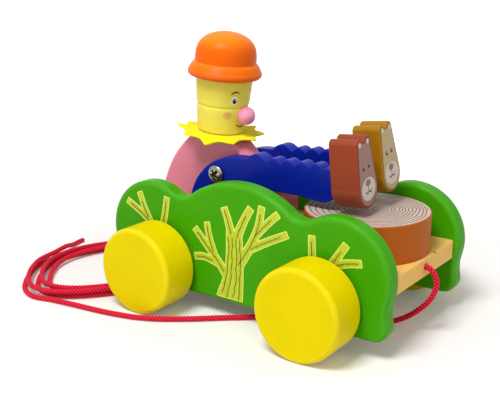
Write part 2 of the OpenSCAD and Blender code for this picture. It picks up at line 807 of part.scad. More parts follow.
// Wrist dowel, or with slack its hole, in the frame of the wrist
module wrist_bar(slack) {
    spare = slack > 0 ? end_gap : 0;
    translate([-wrist_dowel_in - spare, 0, 0])
        rotate([0, 90, 0])
            cylinder(d = wrist_dowel_d + 2 * slack, h = 2 * (wrist_dowel_in + spare));
}

module arm(side) {
    color(BLUE)
        difference() {
            plate(arm_outline(), arm_hubs(), side > 0 ? arm_in : -arm_out, arm_t, arm_edge);
            bar_y(pivot.x, pivot.y, pivot_screw_d + 2 * pivot_fit, -arm_out - 1, arm_out + 1);
            at_wrist(side) wrist_bar(glue_fit);
        }
}

// Bear's face outline: jowls, brow and two ears, standing on its chin
module bear_outline() {
    jowl = jowl_d / 2;
    brow = brow_d / 2;
    ear = ear_d / 2;
    brow_z = mallet_h - ear - brow;
    a = asin((jowl - brow) / (brow_z - jowl));
    translate([0, jowl]) circle(r = jowl, $fn = 72);
    translate([0, brow_z]) circle(r = brow);
    polygon([
        [jowl * cos(a), jowl + jowl * sin(a)], [brow * cos(a), brow_z + brow * sin(a)],
        [-brow * cos(a), brow_z + brow * sin(a)], [-jowl * cos(a), jowl + jowl * sin(a)]]);
    for (s = [-1, 1])
        translate([s * ear_pitch / 2, mallet_h - ear]) circle(r = ear);
}

module mallet_head(side, paint) {
    color(paint)
        at_wrist(side)
            difference() {
                rotate([mallet_roll, 0, 0])
                    translate([0, 0, mallet_low])
                        rotate([90, 0, 90])
                            linear_extrude(mallet_depth) bear_outline();
                wrist_bar(glue_fit);
            }
}

module wrist_dowel(side) {
    color(PINE)
        at_wrist(side) wrist_bar(0);
}

// Pan head with a cross recess on a plain shank, along Z with the head uppermost
module pan_screw() {
    rim = pivot_head_h * 0.4;
    dome_h = pivot_head_h - rim;
    shank = head_gap + arm_t + arm_gap + pivot_screw_in;
    r = pivot_head_d / 2;
    profile = concat(
        [[0, 0], [r, 0], [r, rim]],
        [for (i = [1 : 5]) let (a = 90 * i / 6) [r * cos(a), rim + dome_h * sin(a)]],
        [[0, pivot_head_h]]);
    difference() {
        rotate_extrude() polygon(profile);
        for (a = [45, 135])
            translate([0, 0, pivot_head_h])
                rotate([0, 0, a])
                    cube([pivot_head_d * 0.6, pivot_head_d * 0.13, pivot_head_h], center = true);
    }
    translate([0, 0, -shank])
        cylinder(d = pivot_screw_d, h = shank);
}

module arm_screws() {
    color(STEEL)
        for (s = [RIGHT, LEFT])
            translate([pivot.x, s * (arm_out + head_gap), pivot.y])
                rotate([-90 * s, 0, 0]) pan_screw();
}

module wheel(x, side) {
    r = wheel_d / 2;
    profile = concat(
        [[0, 0]],
        arc([r - wheel_edge, wheel_edge], wheel_edge, -90, 0, 6),
        arc([r - wheel_edge, wheel_w - wheel_edge], wheel_edge, 0, 90, 6),
        [[r - wheel_edge, wheel_w], [0, wheel_w]]);
    color(YELLOW)
        translate([x, side * wheel_in, axle_z])
            rotate([-90 * side, 0, 0])
                difference() {
                    rotate_extrude($fn = 96) polygon(profile);
                    bar_z(0, 0, axle_d + 2 * glue_fit, -1, axle_socket + end_gap);
                }
}

module axle(x) {
    color(PINE)
        bar_y(x, axle_z, axle_d, -wheel_in - axle_socket, wheel_in + axle_socket);
}

module trip_cam(side) {
    nose_out = cam_reach - cam_nose_d / 2;
    color(BROWN)
        translate([rear_x, side * arm_mid + cam_t / 2, axle_z])
            rotate([90, cam_turn + (side > 0 ? 180 : 0), 0])
                linear_extrude(cam_t)
                    difference() {
                        union() {
                            circle(d = cam_hub_d);
                            translate([nose_out, 0]) circle(d = cam_nose_d);
                            translate([0, -cam_nose_d / 2]) square([nose_out, cam_nose_d]);
                        }
                        circle(d = axle_d + 2 * glue_fit);
                    }
}

// Knot in the pocket under the deck, flat where the rope leaves it
module rope_knot() {
    face_x = deck_l / 2 - rope_in;
    flat = 0.6;
    color(RED)
        intersection() {
            translate([knot_x, 0, rope_z]) sphere(d = knot_d);
            translate([face_x - flat - knot_d, -knot_d, rope_z - knot_d]) cube([knot_d, 2 * knot_d, 2 * knot_d]);
        }
}

module rope_run() {
    flat = 0.6;
    start = deck_l / 2 - rope_in - flat;
    mouth = deck_l / 2 - rope_d;
    first = hank_point(0);
    heading = unit(hank_point(1 / loop_rings) - first);
    inside = [[start, 0, rope_z], [(start + mouth) / 2, 0, rope_z], [mouth, 0, rope_z]];
    color(RED)
        tube(concat(inside, rope_route, [first - rope_d * heading, first]), rope_d, 8);
}

module rope_hank() {
    echo(least_gap_in_hank = hank_gap(2 * loop_rings));
    color(RED)
        tube(hank_path(loop_rings), rope_d, 6);
}

module rope_tail() {
    path = hank_path(loop_rings);
    last = path[len(path) - 1];
    heading = unit(last - path[len(path) - 2]);
    color(RED)
        tube(concat([last, last + rope_d * heading], tail_route), rope_d, 8);
}

side_panel(RIGHT);  // right_side_panel
side_panel(LEFT);  // left_side_panel
deck_board();
deck_dowels();
stump_drum();
stump_screws();
body_board();
body_screws();
neck_dowel();
collar();
head();
nose();
hat();
arm(RIGHT);  // right_arm
raised(left_raise) arm(LEFT);  // left_arm
mallet_head(RIGHT, BROWN);  // right_mallet_head
raised(left_raise) mallet_head(LEFT, GOLD);  // left_mallet_head
wrist_dowel(RIGHT);  // right_wrist_dowel
raised(left_raise) wrist_dowel(LEFT);  // left_wrist_dowel
arm_screws();
wheel(front_x, RIGHT);  // front_right_wheel
wheel(front_x, LEFT);  // front_left_wheel
wheel(rear_x, RIGHT);  // rear_right_wheel
wheel(rear_x, LEFT);  // rear_left_wheel
axle(front_x);  // front_axle
axle(rear_x);  // rear_axle
trip_cam(RIGHT);  // right_trip_cam
trip_cam(LEFT);  // left_trip_cam
rope_knot();
rope_run();
rope_hank();
rope_tail();
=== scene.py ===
import json
import math
import random

import bmesh
import bpy
import numpy as np
from mathutils import Matrix, Vector, noise


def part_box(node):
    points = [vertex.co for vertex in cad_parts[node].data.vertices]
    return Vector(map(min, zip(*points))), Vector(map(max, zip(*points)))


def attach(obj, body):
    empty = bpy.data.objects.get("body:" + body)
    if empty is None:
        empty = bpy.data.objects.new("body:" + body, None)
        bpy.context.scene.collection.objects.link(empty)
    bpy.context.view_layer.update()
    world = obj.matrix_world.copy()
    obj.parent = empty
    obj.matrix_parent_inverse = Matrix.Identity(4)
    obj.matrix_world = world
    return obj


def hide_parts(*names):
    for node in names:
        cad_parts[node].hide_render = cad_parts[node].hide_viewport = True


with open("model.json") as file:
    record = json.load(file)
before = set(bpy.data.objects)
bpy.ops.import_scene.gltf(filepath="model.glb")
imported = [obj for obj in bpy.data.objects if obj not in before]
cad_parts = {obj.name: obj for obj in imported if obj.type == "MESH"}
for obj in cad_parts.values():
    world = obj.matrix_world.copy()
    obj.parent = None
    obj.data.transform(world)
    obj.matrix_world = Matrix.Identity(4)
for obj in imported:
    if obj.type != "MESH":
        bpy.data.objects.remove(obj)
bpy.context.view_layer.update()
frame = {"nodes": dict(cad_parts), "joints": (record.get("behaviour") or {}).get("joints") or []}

scene = bpy.context.scene
scene.view_settings.view_transform = "Standard"
MM = 0.001


def mm(*values):
    """A point or size given in millimetres."""
    return Vector(values) * MM


# Places that the pieces share, taken from the frame or repeated from the part's source
PIVOT = Vector(next(j for j in frame["joints"] if j["name"] == "right_arm_beat")["pos_m"])
NECK = mm(-47, 0, 94)
HEAD_LEAN = math.radians(5.5)
WRIST = mm(44, 13.3, 76.75)
MALLET_LEAN = math.radians(5)
MALLET_ROLL = math.radians(8)
LEFT_RAISE = math.radians(2)
DECK_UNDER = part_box("deck_board")[0].z
STUMP_LOW, STUMP_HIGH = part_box("stump_drum")
STUMP_MIDDLE = STUMP_LOW.lerp(STUMP_HIGH, 0.5)
STUMP_HEART = mm(6.5, 3.8, 0)

# Frames: a plate's outline lies in X and Z, a mallet's across and up its face
UPRIGHT = Matrix(((1, 0, 0, 0), (0, 0, -1, 0), (0, 1, 0, 0), (0, 0, 0, 1)))
FACING = Matrix(((0, 0, 1, 0), (1, 0, 0, 0), (0, 1, 0, 0), (0, 0, 0, 1)))
HEAD_FRAME = Matrix.Translation(NECK) @ Matrix.Rotation(HEAD_LEAN, 4, "Y")


def mallet_frame(side):
    """Frame of a mallet head: X out of its face, Z towards its ears."""
    wrist = Matrix.Translation((WRIST.x, side * WRIST.y, WRIST.z))
    lean = Matrix.Rotation(-MALLET_LEAN, 4, "Y") @ Matrix.Rotation(MALLET_ROLL, 4, "X")
    if side < 0:
        return wrist @ lean
    raised = Matrix.Rotation(-LEFT_RAISE, 4, "Y")
    return Matrix.Translation(PIVOT) @ raised @ Matrix.Translation(-PIVOT) @ wrist @ lean


# Camera at the photograph's viewing angle
def studio_camera():
    data = bpy.data.cameras.new("studio_camera")
    data.sensor_width = 36
    data.lens = 62.43
    camera = bpy.data.objects.new("studio_camera", data)
    camera.location = mm(266.9, -405.2, 196.6)
    camera.rotation_euler = (math.radians(74.2), 0, math.radians(35.8))
    scene.collection.objects.link(camera)
    scene.camera = camera


studio_camera()


# Colour and shader helpers
def srgb(red, green, blue):
    """A colour written in 8-bit display values, as the shaders want it."""
    def linear(value):
        v = value / 255
        return v / 12.92 if v <= 0.04045 else ((v + 0.055) / 1.055) ** 2.4
    return (linear(red), linear(green), linear(blue), 1)


def shade(colour, factor):
    return tuple(min(c * factor, 1) for c in colour[:3]) + (1,)


def feed(tree, taker, inputs):
    """Links a node's inputs to what comes from other nodes, and sets the plain ones."""
    for key, value in inputs.items():
        if isinstance(value, bpy.types.NodeSocket):
            tree.links.new(value, taker.inputs[key])
        else:
            taker.inputs[key].default_value = value


def add(tree, kind, inputs=None, **settings):
    """A node with its settings and its inputs."""
    made = tree.nodes.new(kind)
    for key, value in settings.items():
        setattr(made, key, value)
    feed(tree, made, inputs or {})
    return made


def new_material(name):
    material = bpy.data.materials.new(name)
    material.use_nodes = True
    return material, material.node_tree


def finished(material, **sockets):
    """Gives a finish what its shader takes: what varies by links, the rest as plain values."""
    named = {key.replace("_", " ").title().replace("Ior", "IOR"): value for key, value in sockets.items()}
    feed(material.node_tree, material.node_tree.nodes["Principled BSDF"], named)
    return material


def object_place(tree, stretch=(1, 1, 1), turn=(0, 0, 0), shift=(0, 0, 0)):
    place = add(tree, "ShaderNodeTexCoord").outputs["Object"]
    moved = {"Vector": place, "Location": shift, "Rotation": turn, "Scale": stretch}
    return add(tree, "ShaderNodeMapping", moved).outputs["Vector"]


def noise_at(tree, place, scale, detail=3, rough=0.5):
    settings = {"Vector": place, "Scale": scale, "Detail": detail, "Roughness": rough}
    return add(tree, "ShaderNodeTexNoise", settings).outputs["Fac"]


def span(tree, value, low, high, to_low, to_high):
    settings = {"Value": value, "From Min": low, "From Max": high, "To Min": to_low, "To Max": to_high}
    return add(tree, "ShaderNodeMapRange", settings).outputs["Result"]


def blend_colour(tree, factor, first, second):
    """Mixes two colours; the node's colours are its inputs 6 and 7 and its output 2."""
    return add(tree, "ShaderNodeMix", {0: factor, 6: first, 7: second}, data_type="RGBA").outputs[2]


def maths(tree, operation, *values):
    return add(tree, "ShaderNodeMath", dict(enumerate(values)), operation=operation).outputs[0]


def times(tree, first, second):
    return maths(tree, "MULTIPLY", first, second)


def length_of(tree, vector):
    return add(tree, "ShaderNodeVectorMath", {0: vector}, operation="LENGTH").outputs["Value"]


def scaled(tree, vector, scale):
    return add(tree, "ShaderNodeVectorMath", {0: vector, "Scale": scale}, operation="SCALE").outputs[0]


def kept_value(tree, name):
    """A value that the mesh keeps for each of its points."""
    return add(tree, "ShaderNodeAttribute", attribute_name=name).outputs["Fac"]


def bump(tree, height, strength, distance, onto=None):
    settings = {"Height": height, "Strength": strength, "Distance": distance}
    if onto:
        settings["Normal"] = onto
    return add(tree, "ShaderNodeBump", settings).outputs["Normal"]


def from_heart(tree, place, uneven, scale, pull, axes):
    """Distance to the heart of the wood across two axes, with the rings pulled out of round by a noise."""
    warp = add(tree, "ShaderNodeTexNoise", {"Vector": uneven, "Scale": scale, "Detail": 3}).outputs["Color"]
    moved = add(tree, "ShaderNodeVectorMath", {0: place, 1: scaled(tree, warp, pull)}).outputs[0]
    split = add(tree, "ShaderNodeSeparateXYZ", {0: moved}).outputs
    flat = add(tree, "ShaderNodeCombineXYZ", {axis: split[axis] for axis in axes}).outputs[0]
    return length_of(tree, flat)


def painted(name, colour, roughness, shine, grain=(1, 1, 1), wear_and_highlight=0.2, thin=None):
    """Brushed or sprayed paint on wood: clouded colour, fine orange peel, faint grain and paler edges, part
    thinned by handling and part painted highlight.

    Where a thin colour is given, it is a painted highlight: that paler colour laid on what faces up.
    """
    material, tree = new_material(name)
    place = object_place(tree)
    cloud = noise_at(tree, place, 38, 4)
    streak = noise_at(tree, object_place(tree, grain), 320, 3, 0.6)
    base = blend_colour(tree, span(tree, cloud, 0.3, 0.7, 0, 1), shade(colour, 0.95), shade(colour, 1.03))
    # Painted highlight: surfaces that face up are blended towards the paler thin colour, as if lit from
    # above.
    if thin:
        outward = add(tree, "ShaderNodeNewGeometry").outputs["Normal"]
        facing_up = add(tree, "ShaderNodeSeparateXYZ", {0: outward}).outputs[2]
        painted_highlight = times(tree, span(tree, facing_up, 0.3, 0.9, 0, 1), span(tree, cloud, 0.3, 0.7, 0.6, 1))
        base = blend_colour(tree, painted_highlight, base, thin)
    base = blend_colour(tree, span(tree, streak, 0.6, 0.75, 0, 0.16), base, shade(colour, 0.78))
    # Paler rounded edges: part paint thinned by handling, part a painted highlight along the rims.
    patchy_wear_and_highlight = span(tree, noise_at(tree, place, 240, 4, 0.7), 0.4, 0.7, 0.1, wear_and_highlight)
    rubbed_and_highlit = tuple(min(c * 1.25 + 0.06, 1) for c in colour[:3]) + (1,)
    base = blend_colour(tree, times(tree, kept_value(tree, "edge_wear"), patchy_wear_and_highlight), base, rubbed_and_highlit)
    peel = bump(tree, noise_at(tree, place, 900, 2), 0.12, 0.1 * MM)
    uneven = span(tree, cloud, 0.3, 0.7, roughness - 0.05, roughness + 0.07)
    return finished(material, base_color=base, normal=bump(tree, streak, 0.1, 0.15 * MM, peel),
                    roughness=uneven, specular_ior_level=shine)


def ink(name, colour):
    """Printed or brushed-on marks: one colour that thins a little here and there."""
    material, tree = new_material(name)
    thin = noise_at(tree, object_place(tree), 700, 3, 0.6)
    base = blend_colour(tree, span(tree, thin, 0.35, 0.7, 0, 1), shade(colour, 0.9), shade(colour, 1.1))
    return finished(material, base_color=base, normal=bump(tree, thin, 0.08, 0.1 * MM),
                    roughness=span(tree, thin, 0.3, 0.7, 0.42, 0.52), specular_ior_level=0.25)


def pine(name, pale, dark, lie=(0, 0, 0), heart=(0, 0.03, -0.05), knot=None):
    """Bare softwood with its rings round a heart line along X, turned to lie along the piece."""
    material, tree = new_material(name)
    place = object_place(tree, turn=lie, shift=heart)
    stretched = object_place(tree, (0.16, 1, 1), lie)
    away = from_heart(tree, place, stretched, 45, 12 * MM, (1, 2))
    slow = span(tree, noise_at(tree, stretched, 30, 2), 0.3, 0.7, 0, 2.2)
    rings_in_a_metre = 240
    ring = maths(tree, "FRACT", maths(tree, "MULTIPLY_ADD", away, rings_in_a_metre, slow))
    late = times(tree, span(tree, ring, 0.35, 0.95, 0, 1), span(tree, ring, 0.95, 1.0, 1, 0))
    depth = span(tree, noise_at(tree, place, 26, 2), 0.35, 0.65, 0.05, 0.24)
    base = blend_colour(tree, times(tree, late, depth), pale, dark)
    fibre = noise_at(tree, object_place(tree, (0.05, 1, 1), lie), 1500, 3, 0.7)
    base = blend_colour(tree, span(tree, fibre, 0.5, 0.8, 0, 0.35), base, shade(dark, 0.8))
    stain = noise_at(tree, object_place(tree), 60, 3)
    base = blend_colour(tree, span(tree, stain, 0.5, 0.8, 0, 0.3), base, shade(pale, 1.1))
    base = blend_colour(tree, times(tree, kept_value(tree, "edge_wear"), 0.3), base, shade(dark, 0.85))
    if knot:
        reach = length_of(tree, object_place(tree, shift=-knot))
        base = blend_colour(tree, span(tree, reach, 0.5 * MM, 1.4 * MM, 0.85, 0), base, srgb(92, 58, 26))
    rough = bump(tree, fibre, 0.25, 0.15 * MM)
    return finished(material, base_color=base, normal=bump(tree, late, 0.12, 0.1 * MM, rough),
                    roughness=span(tree, fibre, 0.3, 0.7, 0.5, 0.68), specular_ior_level=0.25)


def felted(name, colour):
    """Dyed wool felt: matted fibres and a soft sheen."""
    material, tree = new_material(name)
    matted = noise_at(tree, object_place(tree), 900, 5, 0.75)
    fibre = noise_at(tree, object_place(tree, (1, 0.2, 1), (0, 0, 0.7)), 1600, 3, 0.6)
    base = blend_colour(tree, span(tree, matted, 0.35, 0.7, 0, 1), shade(colour, 0.8), shade(colour, 1.06))
    base = blend_colour(tree, span(tree, fibre, 0.55, 0.75, 0, 0.4), base, shade(colour, 1.15))
    fuzz = bump(tree, matted, 0.45, 0.3 * MM)
    return finished(material, base_color=base, normal=bump(tree, fibre, 0.3, 0.2 * MM, fuzz), roughness=0.95,
                    specular_ior_level=0.1, sheen_weight=0.12, sheen_roughness=0.5)


def braided(name, colour, crown, singed):
    """Plaited cotton: painted shade between the strands and a painted highlight on their crowns, with a
    singed tip.
    """
    material, tree = new_material(name)
    place = object_place(tree)
    high = kept_value(tree, "strand_height")
    yarn = noise_at(tree, place, 1800, 4, 0.7)
    fade = noise_at(tree, place, 60, 2)
    # Painted shade in the gaps between strands and a painted highlight on their crowns, both from the strand
    # height.
    base = blend_colour(tree, span(tree, high, 0.22, 0.64, 0, 1), shade(colour, 0.16), colour)
    base = blend_colour(tree, span(tree, high, 0.66, 0.98, 0, 0.55), base, crown)
    base = blend_colour(tree, span(tree, yarn, 0.55, 0.8, 0, 0.3), base, shade(colour, 1.3))
    base = blend_colour(tree, span(tree, fade, 0.35, 0.7, 0, 0.1), base, shade(colour, 0.8))
    base = blend_colour(tree, kept_value(tree, "singed"), base, singed)
    return finished(material, base_color=base, normal=bump(tree, yarn, 0.5, 0.2 * MM), roughness=0.8,
                    specular_ior_level=0.1, sheen_weight=0.05)


def plated(name, colour):
    """Bright plated steel with fine turning marks."""
    material, tree = new_material(name)
    place = object_place(tree)
    smear = noise_at(tree, place, 600, 4, 0.7)
    base = blend_colour(tree, span(tree, smear, 0.3, 0.75, 0, 1), shade(colour, 0.72), shade(colour, 1.1))
    marks = bump(tree, noise_at(tree, place, 2600, 2), 0.12, 0.05 * MM)
    return finished(material, base_color=base, normal=marks, metallic=1.0,
                    roughness=span(tree, smear, 0.3, 0.7, 0.16, 0.36))


def printed_wood(name, pale, dark):
    """Pale print on the stump's top, with faint rings round the heart."""
    material, tree = new_material(name)
    heart = STUMP_MIDDLE + STUMP_HEART
    place = object_place(tree, shift=-Vector((heart.x, heart.y, 0)))
    away = from_heart(tree, place, place, 70, 6 * MM, (0, 1))
    wave = maths(tree, "SINE", times(tree, away, 2200))
    base = blend_colour(tree, span(tree, wave, -0.2, 1, 0, 0.2), pale, dark)
    cloud = noise_at(tree, place, 90, 4, 0.6)
    base = blend_colour(tree, span(tree, cloud, 0.4, 0.7, 0, 0.4), base, shade(pale, 0.85))
    peel = bump(tree, noise_at(tree, place, 800, 2), 0.08, 0.1 * MM)
    return finished(material, base_color=base, normal=peel,
                    roughness=span(tree, cloud, 0.3, 0.7, 0.42, 0.55), specular_ior_level=0.2)


# Finishes, as the photograph shows them
# The paints' paler edges are part thinned by handling and part painted highlight, most on the green.
GREEN = painted("green_paint", srgb(66, 158, 4), roughness=0.34, shine=0.07, grain=(0.06, 1, 1), wear_and_highlight=0.25)
YELLOW = painted("yellow_paint", srgb(230, 208, 0), roughness=0.34, shine=0.045, grain=(1, 0.1, 1))
PINK = painted("pink_paint", srgb(236, 138, 158), roughness=0.4, shine=0.12, grain=(1, 1, 0.06))
ROSE = painted("nose_paint", srgb(242, 152, 180), roughness=0.26, shine=0.26)
BLUE = painted("blue_paint", srgb(8, 32, 150), roughness=0.32, shine=0.12, grain=(0.06, 1, 1), wear_and_highlight=0.1)
# The orange's thin colour is a painted highlight on the crown and the top of the brim.
ORANGE = painted("orange_paint", srgb(234, 98, 0), roughness=0.36, shine=0.11, grain=(1, 1, 0.2),
                 thin=srgb(240, 138, 22))
STRAW = painted("straw_paint", srgb(234, 218, 84), roughness=0.42, shine=0.12, grain=(1, 1, 0.06))
BROWN = painted("brown_paint", srgb(146, 63, 36), roughness=0.4, shine=0.09, grain=(0.1, 1, 1))
GOLD = painted("gold_paint", srgb(164, 113, 14), roughness=0.4, shine=0.09, grain=(0.1, 1, 1))
BARK = painted("bark_paint", srgb(180, 92, 18), roughness=0.44, shine=0.1, grain=(1, 1, 0.1))
PINE = pine("bare_pine", srgb(242, 194, 104), srgb(216, 156, 70), knot=mm(89, 12.2, 42.2))
DOWEL = pine("dowel_wood", srgb(226, 196, 136), srgb(196, 152, 92), lie=(0, 0, math.pi / 2),
             heart=(0, 0, -0.02))
FELT = felted("yellow_felt", srgb(255, 238, 4))
# The rope's second colour is the painted highlight on the strands' crowns.
ROPE = braided("red_rope", srgb(238, 15, 56), srgb(250, 108, 128), srgb(62, 26, 24))
STEEL = plated("plated_steel", srgb(162, 157, 148))
# Dark steel laid as painted shade in the screws' cross recesses.
RECESS_SHADE = plated("recess_steel", srgb(58, 54, 50))
RINGS = printed_wood("stump_print", srgb(205, 185, 173), srgb(174, 144, 127))
TWIG_RIM = ink("twig_outline", srgb(228, 230, 122))
TWIG_FILL = ink("twig_fill", srgb(188, 206, 44))
TWIG_LINE = ink("twig_line", srgb(80, 48, 10))
RING_LINE = ink("ring_line", srgb(108, 64, 46))
BROW_INK = ink("brow_brown", srgb(86, 44, 18))
EYE_WHITE = ink("eye_white", srgb(244, 238, 220))
EYE_INK = ink("eye_dark", srgb(38, 22, 16))
LIP_INK = ink("lip_red", srgb(176, 84, 52))
CHEEK_INK = ink("cheek_pink", srgb(232, 176, 96))
MUZZLE = ink("muzzle_cream", srgb(214, 202, 186))
BROWN_FACE = ink("brown_face", srgb(158, 116, 110))
GOLD_FACE = ink("gold_face", srgb(190, 166, 124))
SNOUT = ink("snout_grey", srgb(128, 108, 94))


# Mesh helpers
def link(name, mesh, materials):
    piece = bpy.data.objects.new(name, mesh)
    scene.collection.objects.link(piece)
    for material in materials:
        mesh.materials.append(material)
    return piece


def from_bmesh(name, bm, *materials):
    bmesh.ops.recalc_face_normals(bm, faces=bm.faces)
    mesh = bpy.data.meshes.new(name)
    bm.to_mesh(mesh)
    bm.free()
    return link(name, mesh, materials)


def settle(piece):
    """Applies a piece's modifiers, so that its mesh is final."""
    graph = bpy.context.evaluated_depsgraph_get()
    mesh = bpy.data.meshes.new_from_object(
        piece.evaluated_get(graph), preserve_all_data_layers=True, depsgraph=graph)
    piece.modifiers.clear()
    piece.data = mesh
    mesh.name = piece.name
    return piece


def smooth(piece, sharp=38):
    """Smooth shading that keeps flat faces flat and edges over the given angle sharp."""
    mesh = piece.data
    mesh.shade_smooth()
    mesh.set_sharp_from_angle(angle=math.radians(sharp))
    weighted = piece.modifiers.new("flat_faces", "WEIGHTED_NORMAL")
    weighted.keep_sharp = True
    settle(piece)
    mark_edges(piece.data)
    return piece


def read_all(items, key, width=1, kind=np.float64):
    """One value, or one row of values, for each point, edge, face or corner of a mesh."""
    values = np.zeros(len(items) * width, dtype=kind)
    items.foreach_get(key, values)
    return values.reshape(-1, width) if width > 1 else values


def write_all(mesh, name, values, domain="POINT"):
    """Keeps one value for each point or corner of a mesh, under a name that a finish can read."""
    mesh.attributes.new(name, "FLOAT", domain).data.foreach_set("value", values.astype(np.float32))


def mark_edges(mesh, soft=120.0, full=420.0, widest=4e-6):
    """Writes how strongly each point lies on a rounded outer edge, from the turn of the normals there.

    The paler edge that this feeds is part paint thinned by handling and part painted highlight; it starts at
    the soft bend and is complete at the full one, both one over a radius in metres.
    Faces over the widest area, in square metres, get none.
    """
    points = read_all(mesh.vertices, "co", 3)
    normals = read_all(mesh.vertex_normals, "vector", 3)
    first, second = read_all(mesh.edges, "vertices", 2, np.int32).T
    gap = points[first] - points[second]
    turn = normals[first] - normals[second]
    bend = (gap * turn).sum(1) / np.maximum((gap * gap).sum(1), 1e-12)
    most = np.zeros(len(points))
    np.maximum.at(most, first, bend)
    np.maximum.at(most, second, bend)
    wear_and_highlight = np.clip((most - soft) / (full - soft), 0, 1)
    corners = read_all(mesh.loops, "vertex_index", kind=np.int32)
    sizes = read_all(mesh.polygons, "loop_total", kind=np.int32)
    narrow = np.repeat(read_all(mesh.polygons, "area") < widest, sizes)
    write_all(mesh, "edge_wear", wear_and_highlight[corners] * narrow, "CORNER")


def copied(node):
    """A merged copy of a CAD node's mesh, to work on."""
    bm = bmesh.new()
    bm.from_mesh(frame["nodes"][node].data)
    bmesh.ops.remove_doubles(bm, verts=bm.verts, dist=1e-6)
    return bm


def section(node, point, normal, into):
    """Closed outlines, longest first, where a plane cuts a CAD node, in the plane's own two directions."""
    bm = copied(node)
    everything = bm.verts[:] + bm.edges[:] + bm.faces[:]
    cut = bmesh.ops.bisect_plane(bm, geom=everything, dist=1e-7, plane_co=point, plane_no=normal)
    edges = {e for e in cut["geom_cut"] if isinstance(e, bmesh.types.BMEdge)}
    loops = []
    while edges:
        edge = edges.pop()
        start, at = edge.verts
        loop = [start, at]
        while at is not start:
            edge = next(e for e in at.link_edges if e in edges)
            edges.remove(edge)
            at = edge.other_vert(at)
            loop.append(at)
        flat = [into @ v.co for v in loop[:-1]]
        loops.append(straightened([Vector((p.x, p.y)) for p in flat]))
    bm.free()
    return sorted(loops, key=lambda pts: -sum((a - b).length for a, b in zip(pts, pts[1:])))


def side_outlines(node, across):
    """The outlines of a board that stands along the cart, cut at a place across it."""
    return section(node, Vector((0, across, 0)), Vector((0, 1, 0)), UPRIGHT.inverted())


def straightened(points, slack=2e-6):
    """The points without those that lie on a straight line between their neighbours, turning left."""
    area = sum(a.cross(b) for a, b in zip(points, points[1:] + points[:1]))
    if area < 0:
        points = points[::-1]
    kept = []
    for i, point in enumerate(points):
        before = kept[-1] if kept else points[-1]
        along = points[(i + 1) % len(points)] - before
        if along.length < 1e-9 or abs((point - before).cross(along)) / along.length > slack:
            kept.append(point)
    return kept


def turn_at(points, i):
    """Angle that an outline turns by at a point."""
    a = points[i] - points[i - 1]
    b = points[(i + 1) % len(points)] - points[i]
    return abs(math.atan2(a.cross(b), a.dot(b)))


def curve_between(p0, p1, p2, p3, u):
    """Point on a smooth curve from p1 to p2."""
    return 0.5 * (2 * p1 + (p2 - p0) * u + (2 * p0 - 5 * p1 + 4 * p2 - p3) * u * u
                  + (3 * p1 - p0 - 3 * p2 + p3) * u ** 3)


def rounded(points, pieces, corner=30):
    """An outline with its arcs drawn finer, while corners and straight stretches stay."""
    limit = math.radians(corner)
    n = len(points)
    turns = [turn_at(points, i) for i in range(n)]
    finer = []
    for i in range(n):
        p0, p1, p2, p3 = (points[(i + k) % n] for k in (-1, 0, 1, 2))
        before, here, after = (p1 - p0).length, (p2 - p1).length, (p3 - p2).length
        start, end = turns[i], turns[(i + 1) % n]
        straight = all(turn > limit or turn < 0.01 for turn in (start, end))
        uneven = max(before, here, after) > 4 * min(before, here, after)
        if straight or (uneven and here > 8 * MM):
            finer.append(p1)
            continue
        if start > limit or before > 3 * here:
            p0 = 2 * p1 - p2
        if end > limit or after > 3 * here:
            p3 = 2 * p2 - p1
        finer.extend(curve_between(p0, p1, p2, p3, k / pieces) for k in range(pieces))
    return finer


def eased(points, notch, flank, middle=3.4 * MM):
    """The outline with its inward creases bridged by soft curves, wider on the flanks than in the middle."""
    n = len(points)
    creases = []
    for i in range(n):
        a, b = points[i] - points[i - 1], points[(i + 1) % n] - points[i]
        if a.cross(b) < 0 and turn_at(points, i) > 0.4:
            creases.append((points[i], flank if abs(points[i].x) > middle else notch))
    return [p for p in points if all((p - c).length > reach for c, reach in creases)]


def drawn_in(points, distance):
    """The outline moved inwards by a distance."""
    moved = []
    n = len(points)
    for i in range(n):
        e = (points[i] - points[i - 1]).normalized()
        f = (points[(i + 1) % n] - points[i]).normalized()
        a = Vector((e.y, -e.x))
        b = Vector((f.y, -f.x))
        moved.append(points[i] - distance * (a + b) / max(1 + a.dot(b), 0.35))
    return moved


def circle(centre, radius, count):
    steps = (2 * math.pi * k / count for k in range(count))
    return [Vector((centre[0] + radius * math.cos(a), centre[1] + radius * math.sin(a))) for a in steps]


def rim(bm, points, height, into):
    return [bm.verts.new(into @ Vector((p.x, p.y, height))) for p in points]


def wall(bm, lower, upper):
    n = len(lower)
    for i in range(n):
        k = (i + 1) % n
        bm.faces.new((lower[i], lower[k], upper[k], upper[i]))


def filled(bm, rims):
    """A flat face between one outline and the holes in it."""
    edges = []
    for ring in rims:
        for i, vert in enumerate(ring):
            after = ring[(i + 1) % len(ring)]
            edges.append(bm.edges.get((vert, after)) or bm.edges.new((vert, after)))
    bmesh.ops.triangle_fill(bm, use_beauty=True, use_dissolve=False, edges=edges)


def plate(name, outline, low, high, edge, into, material, holes=(), steps=5):
    """A board with rounded edges. Each hole is an outline with the heights that it starts and ends at."""
    bm = bmesh.new()
    margin = 0.5 * MM
    rings = [(drawn_in(outline, edge + margin), low)]
    for k in range(steps + 1):
        a = math.pi / 2 * k / steps
        inner = drawn_in(outline, edge * (1 - math.sin(a)))
        rings.append((inner, low + edge * (1 - math.cos(a))))
    rings += [(inner, low + high - height) for inner, height in reversed(rings)]
    verts = [rim(bm, inner, height, into) for inner, height in rings]
    for lower, upper in zip(verts, verts[1:]):
        wall(bm, lower, upper)
    low_rims, high_rims = [verts[0]], [verts[-1]]
    for points, start, end in holes:
        lower, upper = rim(bm, points, start, into), rim(bm, points, end, into)
        wall(bm, upper, lower)
        if start <= low:
            low_rims.append(lower)
        else:
            bm.faces.new(lower)
        if end >= high:
            high_rims.append(upper)
        else:
            bm.faces.new(upper)
    filled(bm, low_rims)
    filled(bm, high_rims)
    return from_bmesh(name, bm, material)


